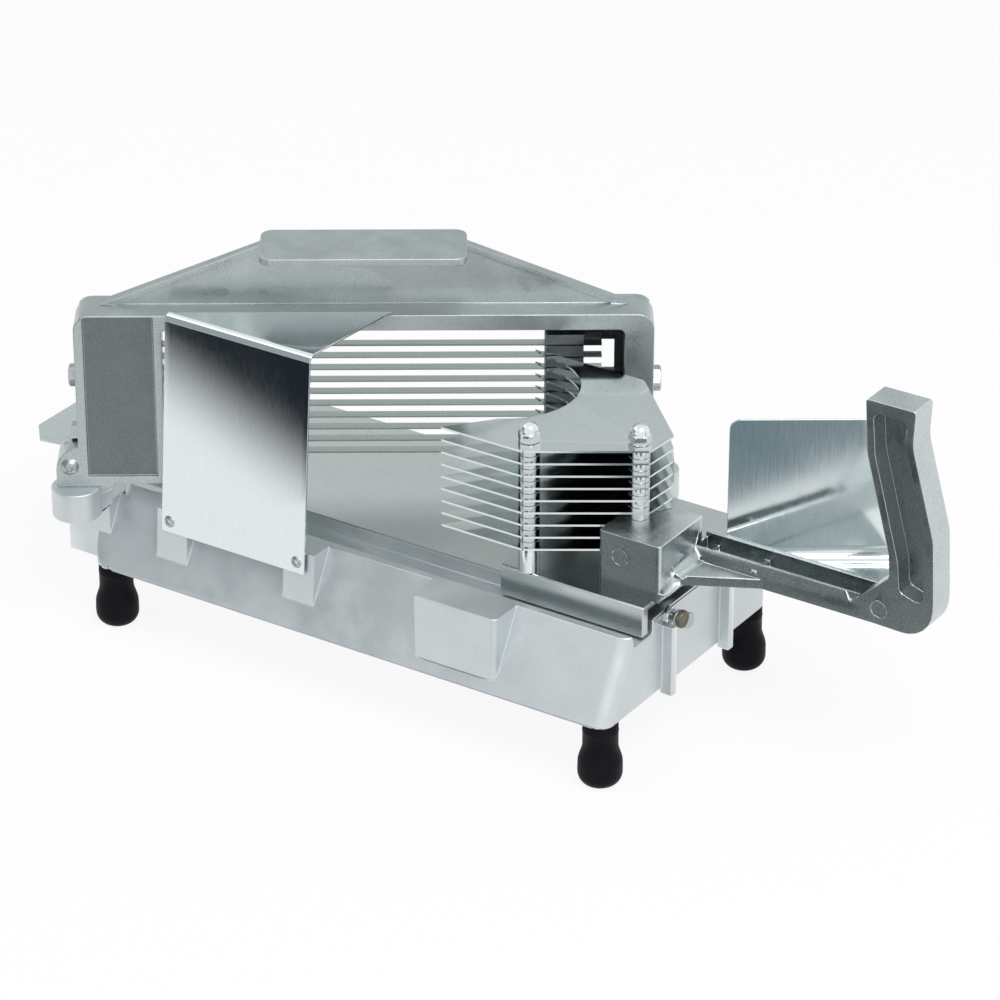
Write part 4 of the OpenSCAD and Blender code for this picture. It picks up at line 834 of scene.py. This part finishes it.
lean = math.atan(seatLook["slope"])
guardOut = Vector((0, -math.cos(lean), math.sin(lean)))
guardY = seatLook["footY"] + (seatLook["guardZ"] - seatLook["footZ"]) * seatLook["slope"]
guardSeats = [spot(x, guardY, seatLook["guardZ"]) + guardOut * seatLook["sheet"] for x in seatLook["guardX"]]
leftSeats = [bladeSpot(*seatLook["left"], z) for z in seatLook["leftHeights"]]
rightSeats = [bladeSpot(*seatLook["right"], z) for z in seatLook["rightHeights"]]
frontOut = Vector((math.sin(place["turn"]), -math.cos(place["turn"]), 0))
leftOut = Vector((-math.cos(place["turn"]), -math.sin(place["turn"]), 0))
screws = [
    ("guardScrews", domeScrew(**guardScrew), guardSeats, guardOut, 3, "front_guard_screws"),
    ("earScrewFront", domeScrew(**earScrew), [bladeSpot(*seatLook["earFront"])], frontOut, 4, "ear_screws"),
    ("earScrewRear", domeScrew(**earScrew), [bladeSpot(*seatLook["earRear"])], -frontOut, 5, "ear_screws"),
    ("sideBoltsLeft", hexScrew(**leftBolt), leftSeats, leftOut, 6, "tension_bolts"),
    ("sideBoltsRight", hexScrew(**rightBolt), rightSeats, -leftOut, 9, "tension_bolts")]
for name, pattern, seats, out, seed, node in screws:
    screw = repeatPiece(name, pattern, seats, out, "screwSteel", 1.0, seed)
    settle(screw, "base", "screw_steel", node)
print("fasteners ready")

# spacers and cap nuts on the rods

stackLook = {"outer": 0.005, "bore": 0.00306, "chamfer": 0.0004, "round": 0.3, "inner": 0.5, "steps": 40,
             "pitch": 6.35, "plate": 1.0, "topPlate": 149.625, "plates": 9, "leastFoot": 0.3}
stacks = {"Left": {"at": (77.7, -32.4), "seat": 83.0, "node": "spacers_left"},
          "Right": {"at": (121.4, -6.4), "seat": 112.0, "node": "spacers_right"}}


def spacerPattern(height):
    # a turned sleeve with chamfered ends, open through its middle
    r, b, c, h = stackLook["outer"], stackLook["bore"], stackLook["chamfer"], height
    low, inner = c * stackLook["round"], c * stackLook["inner"]
    profile = [(0.0, r - c), (low, r - low), (c, r), (h - c, r), (h - low, r - low), (h, r - c),
               (h, b + inner), (h - inner, b), (inner, b), (0.0, b + inner)]
    return turned(profile, stackLook["steps"], True)


def plateHeight(i):
    return stackLook["topPlate"] - (i - 1) * stackLook["pitch"]


def stackOf(name, at, seat, node):
    # full sleeves between plates, and one that stands on the seat
    half = stackLook["plate"] / 2
    tops = [plateHeight(i) + half for i in range(2, stackLook["plates"] + 1)]
    whole = [z for z in tops if z >= seat]
    foot = plateHeight(len(whole) + 1) - half - seat
    sleeves = [(name, stackLook["pitch"] - stackLook["plate"], whole)]
    if foot > stackLook["leastFoot"]:
        sleeves.append((name + "Foot", foot, [seat]))
    for label, height, seats in sleeves:
        sleeve = repeatPiece(label, spacerPattern(height / 1000), [spot(*at, z) for z in seats], (0, 0, 1),
                             "chrome", 0.0, 2)
        settle(sleeve, "pusher", "chrome_parts", node)


for side, stack in stacks.items():
    stackOf("spacerStack" + side, **stack)

nutLook = {"across": 0.00468, "tall": 0.005, "dome": 0.0046, "domeSteps": 9, "lowCut": (0.0003, 1.04),
           "seat": 0.9, "lowFlat": 0.0007, "highFlat": 0.0008, "highCut": (0.0003, 1.05), "shoulder": 0.98,
           "domeFoot": (0.0001, 0.995)}


def capNut(look):
    across, tall, dome = look["across"], look["tall"], look["dome"]
    outer = hexRadius(across)
    (low, lowCut), (high, highCut), (lift, taper) = look["lowCut"], look["highCut"], look["domeFoot"]
    rings = [(0.0, across * look["seat"]), (low, cutRadius(outer, across * lowCut)), (look["lowFlat"], outer),
             (tall - look["highFlat"], outer), (tall - high, cutRadius(outer, across * highCut)),
             (tall, across * look["shoulder"]), (tall + lift, dome * taper)]
    for k in range(1, look["domeSteps"]):
        angle = math.pi / 2 * k / look["domeSteps"]
        rings.append((tall + dome * math.sin(angle), dome * math.cos(angle)))
    return turned(rings)


nutZ = stackLook["topPlate"] + stackLook["plate"] / 2
nutSeats = [spot(*stack["at"], nutZ) for stack in stacks.values()]
nuts = repeatPiece("capNuts", capNut(nutLook), nutSeats, (0, 0, 1), "chrome", 1.0, 12, 30.0)
settle(nuts, "pusher", "chrome_parts", "acorn_nuts")
print("stacks ready")

# the small screw on the base's end wall

endLook = {"nutSeat": (143.0, -16.0, 71.2), "headSeat": (150.0, -16.0, 71.2),
           "nut": [(0.0, 0.0036), (0.0003, hexRadius(0.0038)), (0.0026, hexRadius(0.0038)), (0.003, 0.0036)],
           "head": [(-0.013, 0.0015), (-0.0125, 0.0018), (0.0, 0.0018), (0.0, 0.0039), (0.0004, 0.0043),
                    (0.0022, 0.0044), (0.0028, 0.0041), (0.003, 0.0036), (0.00285, 0.0026), (0.0028, 0.001)]}
endNut = repeatPiece("endNut", turned(endLook["nut"]), [spot(*endLook["nutSeat"])], (1, 0, 0), "chrome",
                     0.4, 3)
settle(endNut, "base", "screw_steel", "end_bolt_nut")
endHead = repeatPiece("endScrew", turned(endLook["head"]), [spot(*endLook["headSeat"])], (1, 0, 0),
                      "oliveSteel", 0.0, 3)
settle(endHead, "base", "screw_steel", "end_bolt")

tabLook = {"width": 0.00018, "segments": 2}
settle(softCopy("lock_tab", "lobedTab", "screwSteel", **tabLook), "base", "screw_steel", "lock_tab")

# nodes that keep their own mesh

kept = {"deckSteel": ["deck_sheet"], "bladeSteel": ["blade_%d" % i for i in range(1, 11)],
        "plateSteel": ["pusher_plate_%d" % i for i in range(1, 10)], "chrome": ["rod_left", "rod_right"],
        "blockSteel": ["blade_block_left", "blade_block_right"], "slideNylon": ["glide_strips", "glide_shoe"],
        "screwSteel": ["chute_screws", "foot_studs", "frame_bolts", "blade_pins", "handle_bolts",
                       "knuckle_guard_screws"]}
for finish, nodes in kept.items():
    for node in nodes:
        mesh = cadNodes[node].data
        mesh.materials.clear()
        mesh.materials.append(finishes[finish])
print("kept nodes dressed")


# stage, lamps and camera

def bareFinish(name):
    material = bpy.data.materials.new(name)
    material.use_nodes = True
    tree = material.node_tree
    tree.nodes.clear()
    return material, tree, tree.nodes.new("ShaderNodeOutputMaterial").inputs["Surface"]


def seenRays(tree):
    # one for the rays that the eye or polished metal sends out, nothing for soft light
    path = tree.nodes.new("ShaderNodeLightPath")
    seen = mathNode(tree, "ADD", path.outputs["Is Camera Ray"], path.outputs["Is Glossy Ray"])
    return mathNode(tree, "ADD", seen, path.outputs["Is Transmission Ray"], True)


floorLook = {"pale": (0.9, 0.9, 0.9), "seen": (1.0, 1.0, 1.0), "seenShare": 0.9, "half": 4.0}


def floorFinish(name, look):
    # a floor that stays pale to the eye and in metal, and keeps the shadow
    material, tree, surface = bareFinish(name)
    matt = addNode(tree, "ShaderNodeBsdfDiffuse", Color=look["pale"])
    glow = addNode(tree, "ShaderNodeEmission", Color=look["seen"], Strength=1.0)
    blend = tree.nodes.new("ShaderNodeMixShader")
    share = mathNode(tree, "MULTIPLY", seenRays(tree), look["seenShare"])
    for slot, value in enumerate((share, matt.outputs[0], glow.outputs[0])):
        feed(tree, blend.inputs[slot], value)
    feed(tree, surface, blend.outputs[0])
    return material


floorBuild = bmesh.new()
bmesh.ops.create_grid(floorBuild, x_segments=2, y_segments=2, size=floorLook["half"])
floor = toObject("paleFloor", floorBuild)
floor.data.materials.append(floorFinish("paleFloor", floorLook))

# painted reflections: dark and grey boards that show only in the metal, as a darker surround
reflectionBoards = {
    "darkNear": {"at": (0.08, -0.29, 0.002), "size": (0.12, 0.16), "facing": (0, 0, 1),
                 "tone": (0.06, 0.07, 0.08)},
    "darkFront": {"at": (-0.2441, -0.569, 0.003), "size": (0.35, 0.5), "tone": (0.014, 0.019, 0.025),
                  "from": (-0.2946, -0.313, 0.0), "along": (0.467, -0.884, 0.0), "fade": 0.085},
    "darkRight": {"at": (0.3225, -0.274, 0.004), "size": (0.17, 0.24), "tone": (0.19, 0.25, 0.28),
                  "from": (0.3, -0.152, 0.0), "along": (-0.0624, -0.998, 0.0), "fade": 0.018},
    "greyFront": {"at": (-0.40, -0.33, 0.26), "size": (0.5, 0.5), "facing": (0.485, 0.708, -0.513),
                  "tone": (0.36, 0.40, 0.41)},
    "greyBack": {"at": (-0.9, 1.2, 0.75), "size": (2.4, 1.3), "facing": (0.485, -0.741, -0.4),
                 "tone": (0.62, 0.66, 0.66)}}
reflectionBoardEdge = (0.98, 0.98, 0.98)


def addReflectionBoard(name, look):
    # painted reflections: emitting boards that only metal sees, casting no light or shadow; one with a fade
    # lies on the floor and has a soft side
    build = bmesh.new()
    bmesh.ops.create_grid(build, x_segments=1, y_segments=1, size=0.5)
    bmesh.ops.scale(build, verts=build.verts, vec=(*look["size"], 1))
    if "fade" in look:
        turn = Matrix.Rotation(math.atan2(look["along"][0], -look["along"][1]), 4, "Z")
    else:
        turn = Vector(look["facing"]).to_track_quat("Z", "Y").to_matrix().to_4x4()
    bmesh.ops.transform(build, verts=build.verts, matrix=Matrix.Translation(look["at"]) @ turn)
    board = toObject(name, build)
    material, tree, surface = bareFinish(name)
    glow = addNode(tree, "ShaderNodeEmission", Color=look["tone"], Strength=1.0)
    feed(tree, surface, glow.outputs[0])
    if "fade" in look:
        where = tree.nodes.new("ShaderNodeTexCoord").outputs["Object"]
        along = vectorNode(tree, "DOT_PRODUCT", where, look["along"])
        start = Vector(look["from"]).dot(Vector(look["along"]))
        share = rangeNode(tree, along, start, start + look["fade"])
        feed(tree, glow.inputs["Color"], colorMix(tree, share, reflectionBoardEdge, look["tone"]))
    board.data.materials.append(material)
    for ray in ("camera", "diffuse", "shadow", "transmission", "volume_scatter"):
        setattr(board, "visible_" + ray, False)


for name, look in reflectionBoards.items():
    addReflectionBoard(name, look)

skyLook = {"lighting": 0.62, "seen": 1.0}
world = bpy.data.worlds.new("studio")
bpy.context.scene.world = world
world.use_nodes = True
skyTree = world.node_tree
strength = addNode(skyTree, "ShaderNodeMapRange", Value=seenRays(skyTree), **{
    "To Min": skyLook["lighting"], "To Max": skyLook["seen"]})
feed(skyTree, skyTree.nodes["Background"].inputs["Color"], (1.0, 1.0, 1.0))
feed(skyTree, skyTree.nodes["Background"].inputs["Strength"], strength.outputs["Result"])

lamps = {"keyLamp": {"at": (0.9, -0.5, 1.5), "target": (0.0, 0.0, 0.05), "size": 0.9, "watts": 14.0},
         "fillLamp": {"at": (-1.2, -0.9, 1.2), "target": (0.0, 0.0, 0.1), "size": 1.4, "watts": 6.0}}
for name, look in lamps.items():
    lamp = bpy.data.lights.new(name, "AREA")
    lamp.shape = "SQUARE"
    lamp.size = look["size"]
    lamp.energy = look["watts"]
    obj = bpy.data.objects.new(name, lamp)
    obj.location = look["at"]
    obj.rotation_euler = (Vector(look["at"]) - Vector(look["target"])).to_track_quat("Z", "Y").to_euler()
    bpy.context.collection.objects.link(obj)

cameraLook = {"lens": 167.1, "sensor": 36.0, "azimuth": math.radians(33.21),
              "elevation": math.radians(27.68), "distance": 2.2, "aim": (40.45, 0.0, 94.34), "farEnd": 50.0}
cameraData = bpy.data.cameras.new("photoCamera")
cameraData.lens = cameraLook["lens"]
cameraData.sensor_width = cameraLook["sensor"]
cameraData.clip_end = cameraLook["farEnd"]
camera = bpy.data.objects.new("photoCamera", cameraData)
level = math.cos(cameraLook["elevation"])
back = Vector((math.sin(cameraLook["azimuth"]) * level, -math.cos(cameraLook["azimuth"]) * level,
               math.sin(cameraLook["elevation"])))
camera.location = spot(*cameraLook["aim"]) + back * cameraLook["distance"]
camera.rotation_euler = back.to_track_quat("Z", "Y").to_euler()
bpy.context.collection.objects.link(camera)
bpy.context.scene.camera = camera
bpy.context.scene.view_settings.view_transform = "Standard"

print("scene ready")
